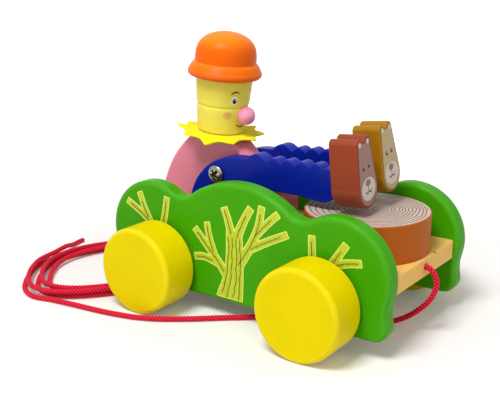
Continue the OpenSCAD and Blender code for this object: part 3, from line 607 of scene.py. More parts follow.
def turned(name, profile, into, material, count):
    """A lathe-turned piece from a profile of radius and height, closed where it meets the axis."""
    bm = bmesh.new()
    rings = []
    for radius, height in profile:
        if radius < 1e-9:
            rings.append([bm.verts.new(into @ Vector((0, 0, height)))])
            continue
        rings.append(rim(bm, circle((0, 0), radius, count), height, into))
    for lower, upper in zip(rings, rings[1:]):
        for k in range(count):
            j = (k + 1) % count
            if len(lower) == 1:
                bm.faces.new((lower[0], upper[j], upper[k]))
            elif len(upper) == 1:
                bm.faces.new((lower[k], lower[j], upper[0]))
            else:
                bm.faces.new((lower[k], lower[j], upper[j], upper[k]))
    return from_bmesh(name, bm, material)


def arc(centre, radius, start, end, steps):
    """Points of a profile along an arc, in degrees."""
    points = []
    for k in range(steps + 1):
        a = math.radians(start + (end - start) * k / steps)
        points.append((centre[0] + radius * math.cos(a), centre[1] + radius * math.sin(a)))
    return points


def softened(name, node, width, material, end_width=0, sharp=30):
    """A copy of a CAD node with its sharp outward edges rounded over, more at its two ends if asked."""
    bm = copied(node)
    bmesh.ops.dissolve_limit(bm, angle_limit=0.004, verts=bm.verts, edges=bm.edges)
    limit = math.radians(sharp)
    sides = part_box(node)

    def outermost(edge, axis):
        return any(all(abs(v.co[axis] - side[axis]) < 0.01 * MM for v in edge.verts) for side in sides)

    def at_end(edge):
        return outermost(edge, 0) and (outermost(edge, 1) or outermost(edge, 2))

    def round_over(offset, segments, chosen):
        outward = [e for e in bm.edges if e.is_manifold and e.is_convex and e.calc_face_angle(0) > limit]
        edges = [e for e in outward if chosen(e)]
        bmesh.ops.bevel(bm, geom=edges, offset=offset, segments=segments, profile=0.5, affect="EDGES",
                        clamp_overlap=True)

    if end_width:
        round_over(end_width, 5, at_end)
    round_over(width, 3, lambda edge: True)
    return smooth(from_bmesh(name, bm, material))


def keep(piece, body, slot, *nodes):
    """Says which body a finished piece rides on and the CAD nodes that it stands for; the slot, its finish,
    is not used.
    """
    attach(piece, body)
    if nodes:
        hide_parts(*nodes)
    return piece


def dressed(material, *nodes):
    """Gives a better material to CAD nodes that stay."""
    for node in nodes:
        for slot in frame["nodes"][node].material_slots:
            slot.material = material


def through(points, count):
    """A smooth path of count steps a span through the points."""
    ends = [2 * points[0] - points[1]] + list(points) + [2 * points[-1] - points[-2]]
    path = []
    for p0, p1, p2, p3 in zip(ends, ends[1:], ends[2:], ends[3:]):
        path.extend(curve_between(p0, p1, p2, p3, k / count) for k in range(count))
    return path + [points[-1]]


# Marks that are printed or painted on: thin inlays, a hair proud of the surface
def outline_distance(points):
    """Signed distance to a closed outline, negative inside."""
    ends = np.array([tuple(p) for p in points])
    after = np.roll(ends, -1, axis=0)

    def distance(u, v):
        near = np.full(u.shape, 1.0)
        inside = np.zeros(u.shape, dtype=bool)
        for (ax, ay), (bx, by) in zip(ends, after):
            dx, dy = bx - ax, by - ay
            t = np.clip(((u - ax) * dx + (v - ay) * dy) / max(dx * dx + dy * dy, 1e-14), 0, 1)
            near = np.minimum(near, np.hypot(u - ax - t * dx, v - ay - t * dy))
            if dy:
                crossing = ((ay > v) != (by > v)) & (u < ax + dx * (v - ay) / dy)
                inside ^= crossing
        return np.where(inside, -near, near)
    return distance


def limb(points, widths):
    """Signed distance to a smooth tapering limb with square-cut ends, given in millimetres."""
    path = [p * MM for p in through([Vector((x, y, w)) for (x, y), w in zip(points, widths)], 5)]

    def distance(u, v):
        near = np.full(u.shape, 1.0)
        for (ax, ay, wide), (bx, by, narrow) in zip(path, path[1:]):
            dx, dy = bx - ax, by - ay
            t = np.clip(((u - ax) * dx + (v - ay) * dy) / (dx * dx + dy * dy), 0, 1)
            half = (wide + (narrow - wide) * t) / 2
            near = np.minimum(near, np.hypot(u - ax - t * dx, v - ay - t * dy) - half)
        for end, inner in ((path[-1], path[-2]), (path[0], path[1])):
            out = (end - inner).xy.normalized()
            near = np.maximum(near, (u - end.x) * out.x + (v - end.y) * out.y)
        return near
    return distance


def oval(across, up, wide, high, turn=0):
    """Rough signed distance to an oval, sizes in millimetres and its turn in degrees."""
    def distance(u, v):
        x, y = u / MM - across, v / MM - up
        c, s = math.cos(math.radians(turn)), math.sin(math.radians(turn))
        far = np.hypot((x * c + y * s) / wide, (y * c - x * s) / high)
        return (far - 1) * min(wide, high) * MM
    return distance


def joined(*shapes):
    def distance(u, v):
        near = shapes[0](u, v)
        for shape in shapes[1:]:
            near = np.minimum(near, shape(u, v))
        return near
    return distance


def inside_by(shape, depth):
    return lambda u, v: shape(u, v) + depth * MM


def mark(name, shape, low, high, cell, place, proud, material):
    """A thin inlay of a shape, laid on a surface by place(u, v, height); sizes in millimetres."""
    low, high, cell, sink = Vector(low) * MM, Vector(high) * MM, cell * MM, 0.06 * MM
    us = np.arange(low.x, high.x + cell, cell)
    vs = np.arange(low.y, high.y + cell, cell)
    field = shape(*np.meshgrid(us, vs, indexing="ij"))
    bm = bmesh.new()
    tops, bottoms = {}, {}

    def corner(a, b):
        key = (a, b)
        if key not in tops:
            share = 0 if a == b else min(max(field[a] / (field[a] - field[b]), 0.03), 0.97)
            u = us[a[0]] + share * (us[b[0]] - us[a[0]])
            v = vs[a[1]] + share * (vs[b[1]] - vs[a[1]])
            tops[key] = bm.verts.new(place(u, v, proud * MM))
            bottoms[tops[key]] = bm.verts.new(place(u, v, -sink))
        return tops[key]

    touched = field < 0
    cells = touched[:-1, :-1] | touched[1:, :-1] | touched[1:, 1:] | touched[:-1, 1:]
    rims = {}
    for i, j in np.argwhere(cells).tolist():
        square = ((i, j), (i + 1, j), (i + 1, j + 1), (i, j + 1))
        ring = []
        for a, b in zip(square, square[1:] + square[:1]):
            if touched[a]:
                ring.append(corner(a, a))
            if touched[a] != touched[b]:
                ring.append(corner(min(a, b), max(a, b)))
        if len(ring) < 3:
            continue
        bm.faces.new(ring)
        bm.faces.new([bottoms[p] for p in reversed(ring)])
        for a, b in zip(ring, ring[1:] + ring[:1]):
            if (b, a) in rims:
                del rims[(b, a)]
            else:
                rims[(a, b)] = True
    for a, b in rims:
        bm.faces.new((b, a, bottoms[a], bottoms[b]))
    piece = from_bmesh(name, bm, material)
    piece.data.shade_smooth()
    piece.data.set_sharp_from_angle(angle=math.radians(50))
    return piece


def marked(prefix, marks, low, high, place, body, slot):
    """Lays a set of marks on one surface: each one's name, shape, height, ink and fineness."""
    for part, shape, proud, material, cell in marks:
        keep(mark(prefix + part, shape, low, high, cell, place, proud, material), body, slot)


# Node trees for what repeats or follows a path
def new_tree(name, **inputs):
    """A geometry tree with the named inputs; gives the tree and its input sockets."""
    tree = bpy.data.node_groups.new(name, "GeometryNodeTree")
    tree.interface.new_socket("Geometry", in_out="INPUT", socket_type="NodeSocketGeometry")
    for key, kind in inputs.items():
        tree.interface.new_socket(key.replace("_", " "), in_out="INPUT", socket_type="NodeSocket" + kind)
    tree.interface.new_socket("Geometry", in_out="OUTPUT", socket_type="NodeSocketGeometry")
    return tree, add(tree, "NodeGroupInput").outputs


def end_tree(tree, geometry, material):
    real = add(tree, "GeometryNodeRealizeInstances", {"Geometry": geometry}).outputs[0]
    done = add(tree, "GeometryNodeSetMaterial", {"Geometry": real, "Material": material}).outputs[0]
    add(tree, "NodeGroupOutput", {0: done})
    return tree


def grown(name, mesh, tree, **values):
    """A piece that a geometry tree makes from a base mesh, as a plain mesh."""
    piece = link(name, mesh, [values["Material"]])
    modifier = piece.modifiers.new(tree.name, "NODES")
    modifier.node_group = tree
    for item in tree.interface.items_tree:
        key = item.name.replace(" ", "_")
        if item.in_out == "INPUT" and key in values:
            modifier[item.identifier] = values[key]
    return settle(piece)


def strips(tree, given, paths, capped):
    """Flat strips of the given width and height along paths."""
    shape = {"Width": given["Width"], "Height": given["Height"]}
    profile = add(tree, "GeometryNodeCurvePrimitiveQuadrilateral", shape, mode="RECTANGLE").outputs[0]
    swept = {"Curve": paths, "Profile Curve": profile, "Fill Caps": capped}
    return add(tree, "GeometryNodeCurveToMesh", swept).outputs[0]


def drawn_line_tree():
    """Fine lines of a set width and height along the edges of a base mesh."""
    tree, given = new_tree("drawn_lines", Width="Float", Height="Float", Facing="Vector", Material="Material")
    paths = add(tree, "GeometryNodeMeshToCurve", {"Mesh": given["Geometry"]}).outputs[0]
    level = add(tree, "GeometryNodeSetCurveNormal", {"Curve": paths, "Normal": given["Facing"]}, mode="FREE")
    return end_tree(tree, strips(tree, given, level.outputs[0], True), given["Material"])


def growth_ring_tree():
    """Wavering rings that grow from one end of a base line to the other."""
    tree, given = new_tree("growth_rings", First="Float", Pitch="Float", Waver="Float", Waver_Scale="Float",
                           Width="Float", Height="Float", Material="Material")
    loop = add(tree, "GeometryNodeCurvePrimitiveCircle", {"Resolution": 120, "Radius": 1.0}).outputs[0]
    number = add(tree, "GeometryNodeInputIndex").outputs[0]
    radius = maths(tree, "MULTIPLY_ADD", number, given["Pitch"], given["First"])
    size = add(tree, "ShaderNodeCombineXYZ", {0: radius, 1: radius, 2: 1.0}).outputs[0]
    placed = {"Points": given["Geometry"], "Instance": loop, "Scale": size}
    laid = add(tree, "GeometryNodeInstanceOnPoints", placed).outputs[0]
    real = add(tree, "GeometryNodeRealizeInstances", {"Geometry": laid}).outputs[0]
    place = add(tree, "GeometryNodeInputPosition").outputs[0]
    rough = {"Vector": place, "Scale": given["Waver Scale"], "Detail": 2.0}
    stray = {0: add(tree, "ShaderNodeTexNoise", rough).outputs["Color"], 1: (0.5, 0.5, 0.5)}
    level_only = {0: add(tree, "ShaderNodeVectorMath", stray, operation="SUBTRACT").outputs[0], 1: (1, 1, 0)}
    flat = add(tree, "ShaderNodeVectorMath", level_only, operation="MULTIPLY").outputs[0]
    pulled = {"Geometry": real, "Offset": scaled(tree, flat, given["Waver"])}
    moved = add(tree, "GeometryNodeSetPosition", pulled).outputs[0]
    level = add(tree, "GeometryNodeSetCurveNormal", {"Curve": moved}, mode="Z_UP").outputs[0]
    return end_tree(tree, strips(tree, given, level, False), given["Material"])


def felt_fibre_tree():
    """Loose fibres that stand up from a felt sheet."""
    tree, given = new_tree("felt_fibres", Density="Float", Length="Float", Thickness="Float", Seed="Int",
                           Material="Material")
    spread = {"Mesh": given["Geometry"], "Density": given["Density"], "Seed": given["Seed"]}
    points = add(tree, "GeometryNodeDistributePointsOnFaces", spread)
    hair = {"Vertices": 3, "Radius Top": 0.0, "Radius Bottom": given["Thickness"], "Depth": given["Length"]}
    strand = add(tree, "GeometryNodeMeshCone", hair).outputs["Mesh"]
    angles = {0: (-1.2, -1.2, -3.1), 1: (1.2, 1.2, 3.1), "Seed": given["Seed"]}
    lie = add(tree, "FunctionNodeRandomValue", angles, data_type="FLOAT_VECTOR").outputs[0]
    turn = {0: points.outputs["Rotation"], 1: lie}
    leaning = add(tree, "FunctionNodeRotateRotation", turn, rotation_space="LOCAL").outputs[0]
    sizes = {2: 0.5, 3: 1.2, "Seed": given["Seed"]}
    size = add(tree, "FunctionNodeRandomValue", sizes, data_type="FLOAT").outputs[1]
    laid = {"Points": points.outputs["Points"], "Instance": strand, "Rotation": leaning, "Scale": size}
    return end_tree(tree, add(tree, "GeometryNodeInstanceOnPoints", laid).outputs[0], given["Material"])


def screw_tree():
    """One screw head set at each point of a base mesh."""
    tree, given = new_tree("set_screws", Head="Object", Material="Material")
    head = add(tree, "GeometryNodeObjectInfo", {"Object": given["Head"]}).outputs["Geometry"]
    laid = {"Points": given["Geometry"], "Instance": head}
    return end_tree(tree, add(tree, "GeometryNodeInstanceOnPoints", laid).outputs[0], given["Material"])


LINES = drawn_line_tree()
GROWTH = growth_ring_tree()
FIBRES = felt_fibre_tree()
SCREWS = screw_tree()


def plain_mesh(name, points, edges=(), faces=()):
    mesh = bpy.data.meshes.new(name)
    mesh.from_pydata([tuple(p) for p in points], edges, faces)
    return mesh


def line_mesh(name, paths):
    """A mesh of plain edges along the given paths of points."""
    points, edges = [], []
    for path in paths:
        start = len(points)
        points.extend(path)
        edges.extend((start + i, start + i + 1) for i in range(len(path) - 1))
    return plain_mesh(name, points, edges)


# Pull rope: out of the deck's front, back under the cart and into a hank, as the CAD route lies
ROPE_D = 3.2 * MM
ROPE_INSIDE = ((72.4, 0, 37.6), (79.3, 0, 37.6), (86.2, 0, 37.6))
ROPE_ROUTE = (
    (91, 0, 37.2), (94, 0, 35), (96, 0, 31), (96, -0.3, 26.5), (94, -1, 21), (90.5, -1.6, 16),
    (86, -2.4, 11.5), (80, -3.5, 7), (73, -5, 3.6), (65, -7, 2), (57, -10, 1.65), (49, -14, 1.65),
    (41, -18.5, 1.65), (33, -23, 1.65), (25, -28, 1.65), (17, -33, 1.65), (9, -38, 1.65), (2, -43.5, 1.65),
    (-5, -49, 1.65), (-12, -55, 1.65), (-19, -61, 1.65), (-26, -66.5, 1.65), (-33, -71.5, 1.65),
    (-40, -75.5, 1.65), (-48, -79, 1.65), (-57, -81.5, 1.65), (-66, -83.4, 1.65), (-75, -84.7, 1.65),
    (-84, -85.8, 1.65), (-93, -87, 1.65))
ROPE_TAIL = (
    (-161.6, -28.2, 5.35), (-164.2, -22.2, 4.6), (-166.9, -16.4, 3.1), (-169.2, -10.8, 1.9),
    (-170.8, -5.2, 1.65), (-171.8, 0.6, 1.65))
# The hank's outer loop in millimetres: its middle, half its length and width, its squareness and its slant
HANK_MIDDLE = (-113, -30, 1.65)
HANK_HALF_LENGTH = 54.5
HANK_HALF_WIDTH = 46
HANK_SQUARE = 2.6
HANK_SLANT = 0.25
# How the hank is turned on the floor, and the angle in degrees at which the rope comes in
HANK_TURN = math.radians(54)
HANK_START = 231
# How far apart its loops lie, and by what share further at the end away from the cart
HANK_PITCH = 4.6
HANK_SPREAD = 0.7
# Two turns lie below, half a turn climbs by the layer's height, and the rest lie above
HANK_LOW_TURNS = 2
HANK_CLIMB = 0.5
HANK_LAYER = 3.75
# Points in one turn and in all
HANK_TURN_POINTS = 24
HANK_POINTS = 103


def ease(u):
    v = min(max(u, 0), 1)
    return v * v * (3 - 2 * v)


def hank_point(turns):
    """Middle of the rope in the hank after so many turns."""
    lie = math.radians(HANK_START - 360 * turns)
    c, s = math.cos(lie), math.sin(lie)
    pitch = HANK_PITCH * (1 + HANK_SPREAD * max(-c, 0) ** 2)
    above = max(turns - HANK_LOW_TURNS - HANK_CLIMB, 0)
    inward = pitch * (min(turns, HANK_LOW_TURNS) - above)
    reach = ((abs(c) / (HANK_HALF_LENGTH - inward)) ** HANK_SQUARE
             + (abs(s) / (HANK_HALF_WIDTH - inward)) ** HANK_SQUARE) ** (-1 / HANK_SQUARE)
    across = reach * s
    along = reach * c + HANK_SLANT * across
    flat = Matrix.Rotation(HANK_TURN, 2) @ Vector((along, across))
    rise = HANK_LAYER * ease((turns - HANK_LOW_TURNS) / HANK_CLIMB)
    return mm(HANK_MIDDLE[0] + flat.x, HANK_MIDDLE[1] + flat.y, HANK_MIDDLE[2] + rise)


def rope_points():
    hank = [hank_point(i / HANK_TURN_POINTS) for i in range(HANK_POINTS)]
    return [mm(*p) for p in ROPE_INSIDE + ROPE_ROUTE] + hank + [mm(*p) for p in ROPE_TAIL]


def evenly(path, step):
    """The path's points, spaced evenly."""
    points = np.array([tuple(p) for p in path])
    along = np.concatenate(([0], np.cumsum(np.linalg.norm(np.diff(points, axis=0), axis=1))))
    at = np.linspace(0, along[-1], max(int(along[-1] / step), 4))
    return np.column_stack([np.interp(at, along, points[:, k]) for k in range(3)]), at


def braided_tube(name, path, radius, tip=False):
    """A plaited cord along a path, with the strands raised in its surface and, if asked, a singed tip."""
    relief, step, sides = 0.3 * MM, 0.4 * MM, 24
    strands, lay = 4, 7.8 * MM
    crown, burn, taper = 0.4 * MM, 1.6 * MM, 1.4 * MM
    points, at = evenly(path, step)
    ahead = np.gradient(points, axis=0)
    ahead /= np.linalg.norm(ahead, axis=1)[:, None]
    side = np.zeros_like(points)
    side[0] = np.cross(ahead[0], (0, 0, 1) if abs(ahead[0][2]) < 0.9 else (0, 1, 0))
    for i in range(1, len(points)):
        side[i] = side[i - 1] - ahead[i] * side[i - 1].dot(ahead[i])
        side[i] /= np.linalg.norm(side[i])
    side[0] /= np.linalg.norm(side[0])
    up = np.cross(ahead, side)
    angle = 2 * math.pi * np.arange(sides) / sides
    u = strands * (angle[None, :] / (2 * math.pi) - at[:, None] / lay)
    v = strands * (angle[None, :] / (2 * math.pi) + at[:, None] / lay)
    over = ((np.floor(u) + np.floor(v)) % 2) < 0.5
    a, b = np.sin(math.pi * (u % 1)), np.sin(math.pi * (v % 1))
    height = np.where(over, a ** 0.7 * (0.45 + 0.55 * b), b ** 0.7 * (0.45 + 0.55 * a))
    reach = radius - relief + relief * height
    left = at[-1] - at
    if tip:
        reach = reach * (0.72 + 0.28 * np.sqrt(np.clip(left / taper, 0, 1)))[:, None]
    out = np.cos(angle)[None, :, None] * side[:, None, :] + np.sin(angle)[None, :, None] * up[:, None, :]
    verts = (points[:, None, :] + reach[:, :, None] * out).reshape(-1, 3).tolist()
    count = len(points)
    faces = []
    for i in range(count - 1):
        for k in range(sides):
            j = (k + 1) % sides
            faces.append((i * sides + k, i * sides + j, (i + 1) * sides + j, (i + 1) * sides + k))
    verts += [points[0] - ahead[0] * crown, points[-1] + ahead[-1] * crown]
    last = (count - 1) * sides
    for k in range(sides):
        j = (k + 1) % sides
        faces.append((count * sides, j, k))
        faces.append((count * sides + 1, last + k, last + j))
    mesh = plain_mesh(name, verts, faces=faces)
    mesh.shade_smooth()
    write_all(mesh, "strand_height", np.append(height.ravel(), (0.6, 0.6)))
    burnt = np.clip(1 - left / burn, 0, 1) if tip else np.zeros(count)
    write_all(mesh, "singed", np.append(np.repeat(burnt, sides), (0, burnt[-1])))
    return link(name, mesh, [ROPE])


def pull_rope():
    """The rope along its route, and the overhand knot that holds it in its pocket under the deck."""
    path = through(rope_points(), 12)
    rope = keep(braided_tube("pull_rope", path, ROPE_D / 2, tip=True), "chassis", "rope",
                "rope_run", "rope_hank", "rope_tail")
    middle, strand, deep, wide, steps = mm(69.3, 0, 37.6), 1.42 * MM, 1.43 * MM, 0.66 * MM, 96
    bends = []
    for k in range(steps + 1):
        a = 2 * math.pi * k / steps
        across, up = math.sin(a) + 2 * math.sin(2 * a), math.cos(a) - 2 * math.cos(2 * a)
        bends.append(middle + Vector((deep * math.sin(3 * a), wide * across, wide * up)))
    knot = keep(braided_tube("rope_end_knot", bends, strand), "chassis", "rope", "rope_knot")


pull_rope()


# Side panels with their printed twigs: each limb's path across and up the panel, and its widths
TWIGS = (
    (((-5.5, 10.6), (-2.6, 24), (-1.6, 38), (-1.9, 52)), (18.5, 14, 12, 11)),
    (((-3, 48), (-6, 58), (-8.8, 65)), (6, 5.2, 4.8)),
    (((-0.5, 48), (4.5, 59), (9.5, 67.5)), (6.5, 5.4, 4.8)),
    (((-4, 22), (-13, 33), (-21, 41), (-29.5, 49.6)), (7, 5.6, 5, 4.6)),
    (((-15, 35), (-19, 46), (-20.7, 54.5)), (5, 4.6, 4.4)),
    (((-11, 31), (-22, 33.6), (-30, 32.6)), (5, 4.6, 4.4)),
    (((0, 32), (8.5, 45), (14, 57), (16.5, 69.6)), (7, 5.8, 5, 4.6)),
    (((11, 51), (20, 60.5), (27, 67)), (5, 4.6, 4.4)),
    (((7.5, 43.5), (21, 51), (33, 57)), (5, 4.7, 4.4)),
    (((-55, 36), (-63, 47), (-72, 53), (-80.6, 57.3)), (6, 5, 4.6, 4.4)),
    (((-62, 46), (-67, 55), (-70.6, 64)), (5, 4.6, 4.4)),
    (((-55, 40), (-51.5, 53), (-49.5, 64)), (5, 4.6, 4.4)),
    (((48.5, 38), (47.8, 50), (47.4, 59.6)), (5, 4.7, 4.4)),
    (((52, 36), (60, 47), (67.8, 58.6)), (6, 5, 4.5)),
    (((58, 45), (68, 48.5), (76.8, 50.2)), (5, 4.6, 4.4)),
)


def twig_lines():
    """Fine bark lines that follow the twigs."""
    chance = random.Random(7)
    lines = []
    for points, widths in TWIGS:
        middle = through([Vector(p) for p in points], 8)
        wide = max(widths)
        trunk = wide > 9
        for share in ((-0.34, -0.12, 0.12, 0.34) if trunk else (0.02,)):
            start = chance.randint(1, 2 if trunk else 4)
            stop = len(middle) - chance.randint(2, 3 if trunk else 5)
            path = []
            for i in range(start, stop):
                ahead = (middle[i + 1] - middle[i - 1]).normalized()
                t = i / (len(middle) - 1) * (len(widths) - 1)
                k = min(int(t), len(widths) - 2)
                width = widths[k] + (widths[k + 1] - widths[k]) * (t - k)
                stray = share + 0.05 * noise.noise(Vector((i * 0.6, share * 9, wide)))
                path.append(middle[i] + Vector((-ahead.y, ahead.x)) * stray * width)
            lines.append(path)
    return lines


def side_panel(label, side):
    """One panel with rounded edges, its axle and dowel holes, and the twigs on its outer face."""
    node = f"{label}_side_panel"
    low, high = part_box(node)
    near, far = -high.y, -low.y
    loops = side_outlines(node, side * 42 * MM)
    outline = rounded(loops[0], 5)
    dowel_depth, axles_below = 6.1 * MM, 32 * MM
    holes = []
    for loop in loops[1:]:
        ends = (near, far)
        if loop[0].y > axles_below:
            ends = (near, near + dowel_depth) if side < 0 else (far - dowel_depth, far)
        holes.append((rounded(loop, 1), *ends))
    panel = smooth(plate(f"{label}_panel", outline, near, far, 2.5 * MM, UPRIGHT, GREEN, holes, 7))
    keep(panel, "chassis", "green_paint", node)
    face, margin = side * 47.3 * MM, 2.7 * MM
    limbs = joined(*(limb(points, widths) for points, widths in TWIGS))
    edge = outline_distance([Vector((-side * p.x, p.y)) for p in outline])

    def on_face(u, v, height):
        return Vector((-side * u, face + side * height, v))

    def twigs(u, v):
        return np.maximum(limbs(u, v), edge(u, v) + margin)

    proud, line_width, line_height = 0.09, 0.92 * MM, 0.05 * MM
    marks = (
        ("_twig_outlines", twigs, 0.05, TWIG_RIM, 0.55),
        ("_twigs", inside_by(twigs, 0.55), proud, TWIG_FILL, 0.55),
    )
    marked(label, marks, (-86, 9), (82, 74), on_face, "chassis", "green_paint")
    paths = [[on_face(p.x * MM, p.y * MM, proud * MM) for p in path] for path in twig_lines()]
    lines = grown(f"{label}_twig_lines", line_mesh("lines", paths), LINES, Width=line_width,
                  Height=line_height, Facing=(0, side, 0), Material=TWIG_LINE)
    keep(lines, "chassis", "green_paint")


side_panel("right", -1)
side_panel("left", 1)


# Deck board, with rounded edges, and the pieces that hold the cart together
deck = softened("deck_plank", "deck_board", 0.5 * MM, PINE, end_width=1.5 * MM)
keep(deck, "chassis", "bare_wood", "deck_board")
dressed(DOWEL, "deck_dowels", "neck_dowel", "right_wrist_dowel", "left_wrist_dowel")
for end in ("front", "rear"):
    rod = softened(f"{end}_axle_rod", f"{end}_axle", 0.5 * MM, DOWEL)
    keep(rod, f"{end}_wheelset", "bare_wood", f"{end}_axle")
for label in ("right", "left"):
    cam = softened(f"{label}_cam", f"{label}_trip_cam", 0.5 * MM, DOWEL)
    keep(cam, "rear_wheelset", "bare_wood", f"{label}_trip_cam")


def recess_depth(x, y):
    """Depth of the cross recess at a place on a pan head: two slots and a round middle, in millimetres."""
    reach, middle, slope, deep = 3.1, 1.55, 0.5, 1.5
    out = math.hypot(x, y)
    across, along = abs(x + y) / math.sqrt(2), abs(x - y) / math.sqrt(2)
    wide = 0.62 + 0.12 * out
    wings = min(max(across - reach, along - wide), max(along - reach, across - wide))
    inside = -min(wings, out - middle)
    return deep * ease(inside / slope) * (1.15 - 0.2 * out)


def pan_screws():
    """The arms' pan-head screws, with painted shade: dark steel on the faces deep in their cross recess."""
    bm = bmesh.new()
    count, head_r, head_h, rim_h, shank_r, shank_l, seat, painted_shade_below = 96, 5.1, 3.0, 1.2, 2.2, 17.2, 17.9, 0.3
    profile = [(shank_r, -shank_l), (shank_r, 0), (head_r - 0.15, 0)]
    for out in np.linspace(head_r, 0.1, 46).tolist():
        profile.append((out, rim_h + (head_h - rim_h) * math.sqrt(1 - (out / head_r) ** 2)))
    dark = set()
    for side in (-1, 1):
        place = Matrix.Translation((PIVOT.x, side * seat * MM, PIVOT.z))
        into = place @ Matrix.Rotation(-side * math.pi / 2, 4, "X") @ Matrix.Scale(MM, 4)
        verts = []
        for out, height in profile:
            ring = circle((0, 0), out, count)
            deep = [recess_depth(*p) if height > rim_h else 0 for p in ring]
            verts.append([bm.verts.new(into @ Vector((p.x, p.y, height - d))) for p, d in zip(ring, deep)])
            dark.update(v for v, d in zip(verts[-1], deep) if d > painted_shade_below)
        for lower, upper in zip(verts, verts[1:]):
            wall(bm, lower, upper)
        bm.faces.new(verts[0])
        bm.faces.new(verts[-1])
    # Painted shade: faces deep in the cross recess take the dark steel.
    for face in bm.faces:
        if sum(v in dark for v in face.verts) * 2 > len(face.verts):
            face.material_index = 1
    screws = smooth(from_bmesh("pan_screws", bm, STEEL, RECESS_SHADE))
    keep(screws, "chassis", "steel", "arm_screws")


pan_screws()


# Wheels, turned with soft rims
def wheel(end, x, label, side):
    r, wide, soft, inner_face = 25 * MM, 24 * MM, 2.5 * MM, 48.8 * MM
    bore, bore_deep, crown = 4.04 * MM, 15.2 * MM, 0.02 * MM
    profile = [(0, bore_deep), (bore, bore_deep), (bore, 0.3 * MM), (4.3 * MM, 0)]
    profile += arc((r - soft, soft), soft, -90, 0, 8) + arc((r - soft, wide - soft), soft, 0, 90, 8)
    profile += [(15 * MM, wide + crown), (0.8 * MM, wide + crown), (0, wide)]
    into = Matrix.Translation((x, side * inner_face, r)) @ Matrix.Rotation(-side * math.pi / 2, 4, "X")
    roller = smooth(turned(f"{end}_{label}_roller", profile, into, YELLOW, 128))
    keep(roller, f"{end}_wheelset", "yellow_paint", f"{end}_{label}_wheel")


for end, x in (("front", 53.5 * MM), ("rear", -53.5 * MM)):
    for label, side in (("right", -1), ("left", 1)):
        wheel(end, x, label, side)


# Stump drum with its printed growth rings
def stump():
    r, h, soft = 34.5 * MM, 21.2 * MM, 0.6 * MM
    profile = [(0, 0)] + arc((r - soft, soft), soft, -90, 0, 4) + arc((r - soft, h - soft), soft, 0, 90, 4)
    into = Matrix.Translation((STUMP_MIDDLE.x, STUMP_MIDDLE.y, STUMP_LOW.z))
    block = smooth(turned("stump_block", profile + [(0, h)], into, BARK, 144))
    keep(block, "chassis", "bark_paint", "stump_drum")

    def on_top(u, v, height):
        return Vector((STUMP_MIDDLE.x + u, STUMP_MIDDLE.y + v, STUMP_HIGH.z + height))

    proud, print_r = 0.06, 33.85
    disc = ("stump_print", oval(0, 0, print_r, print_r), proud, RINGS, 1.1)
    marked("", [disc], (-35, -35), (35, 35), on_top, "chassis", "bark_paint")
    count = 13
    heart = on_top(STUMP_HEART.x, STUMP_HEART.y, proud * MM)
    outermost = on_top(0.3 * MM, 0, proud * MM)
    base = plain_mesh("ring_line", [heart.lerp(outermost, k / (count - 1)) for k in range(count)])
    rings = grown("growth_rings", base, GROWTH, First=1.8 * MM, Pitch=2.46 * MM, Waver=3.4 * MM,
                  Waver_Scale=110.0, Width=0.5 * MM, Height=0.06 * MM, Material=RING_LINE)
    keep(rings, "chassis", "bark_paint")


stump()


# Seated figure: body board, head, nose, hat and ruff
HEAD_Z = 1.5 * MM
HEAD_H = 35.5 * MM
HEAD_LOW_D = 28.3 * MM
HEAD_HIGH_D = 34.3 * MM


def body():
    half, soft = 8.7 * MM, 2 * MM
    outline = rounded(side_outlines("body_board", 6 * MM)[0], 4)
    board = plate("body_plank", outline, -half, half, soft, UPRIGHT, PINK, steps=7)
    keep(smooth(board), "chassis", "pink_paint", "body_board")


def head_radius(z):
    """Radius of the head at a height above its lower end."""
    return (HEAD_LOW_D + (HEAD_HIGH_D - HEAD_LOW_D) * z / HEAD_H) / 2


def head():
    """The head with its turned groove."""
    soft, groove = 2.2 * MM, 0.46 * HEAD_H
    profile = [(0, 0)] + arc((head_radius(0) - soft, soft), soft, -90, 8, 6)
    profile += [(head_radius(z), z) for z in np.linspace(4 * MM, groove - 1.6 * MM, 6)]
    for z, cut in ((-1.0, 0.06), (-0.6, 0.28), (0, 0.5), (0.6, 0.28), (1.0, 0.06)):
        profile.append((head_radius(groove + z * MM) - cut * MM, groove + z * MM))
    profile += [(head_radius(z), z) for z in np.linspace(groove + 1.6 * MM, HEAD_H, 8)] + [(0, HEAD_H)]
    into = HEAD_FRAME @ Matrix.Translation((0, 0, HEAD_Z))
    keep(smooth(turned("peg_head", profile, into, STRAW, 96)), "chassis", "straw_paint", "head")


def nose():
    """The ball nose on its peg, let into the head."""
    r, peg, peg_end, up, sink = 5.4 * MM, 2 * MM, 9.4 * MM, 12.2 * MM, 2.8 * MM
    profile = [(0, -peg_end), (peg, -peg_end), (peg, -math.sqrt(r * r - peg * peg))]
    start = -math.degrees(math.acos(peg / r))
    profile += arc((0, 0), r, start, 90, 24)[1:-1] + [(0, r)]
    at = (head_radius(up) + r - sink, 0, HEAD_Z + up)
    into = HEAD_FRAME @ Matrix.Translation(at) @ Matrix.Rotation(math.pi / 2, 4, "Y")
    keep(smooth(turned("ball_nose", profile, into, ROSE, 48)), "chassis", "nose_paint", "nose")


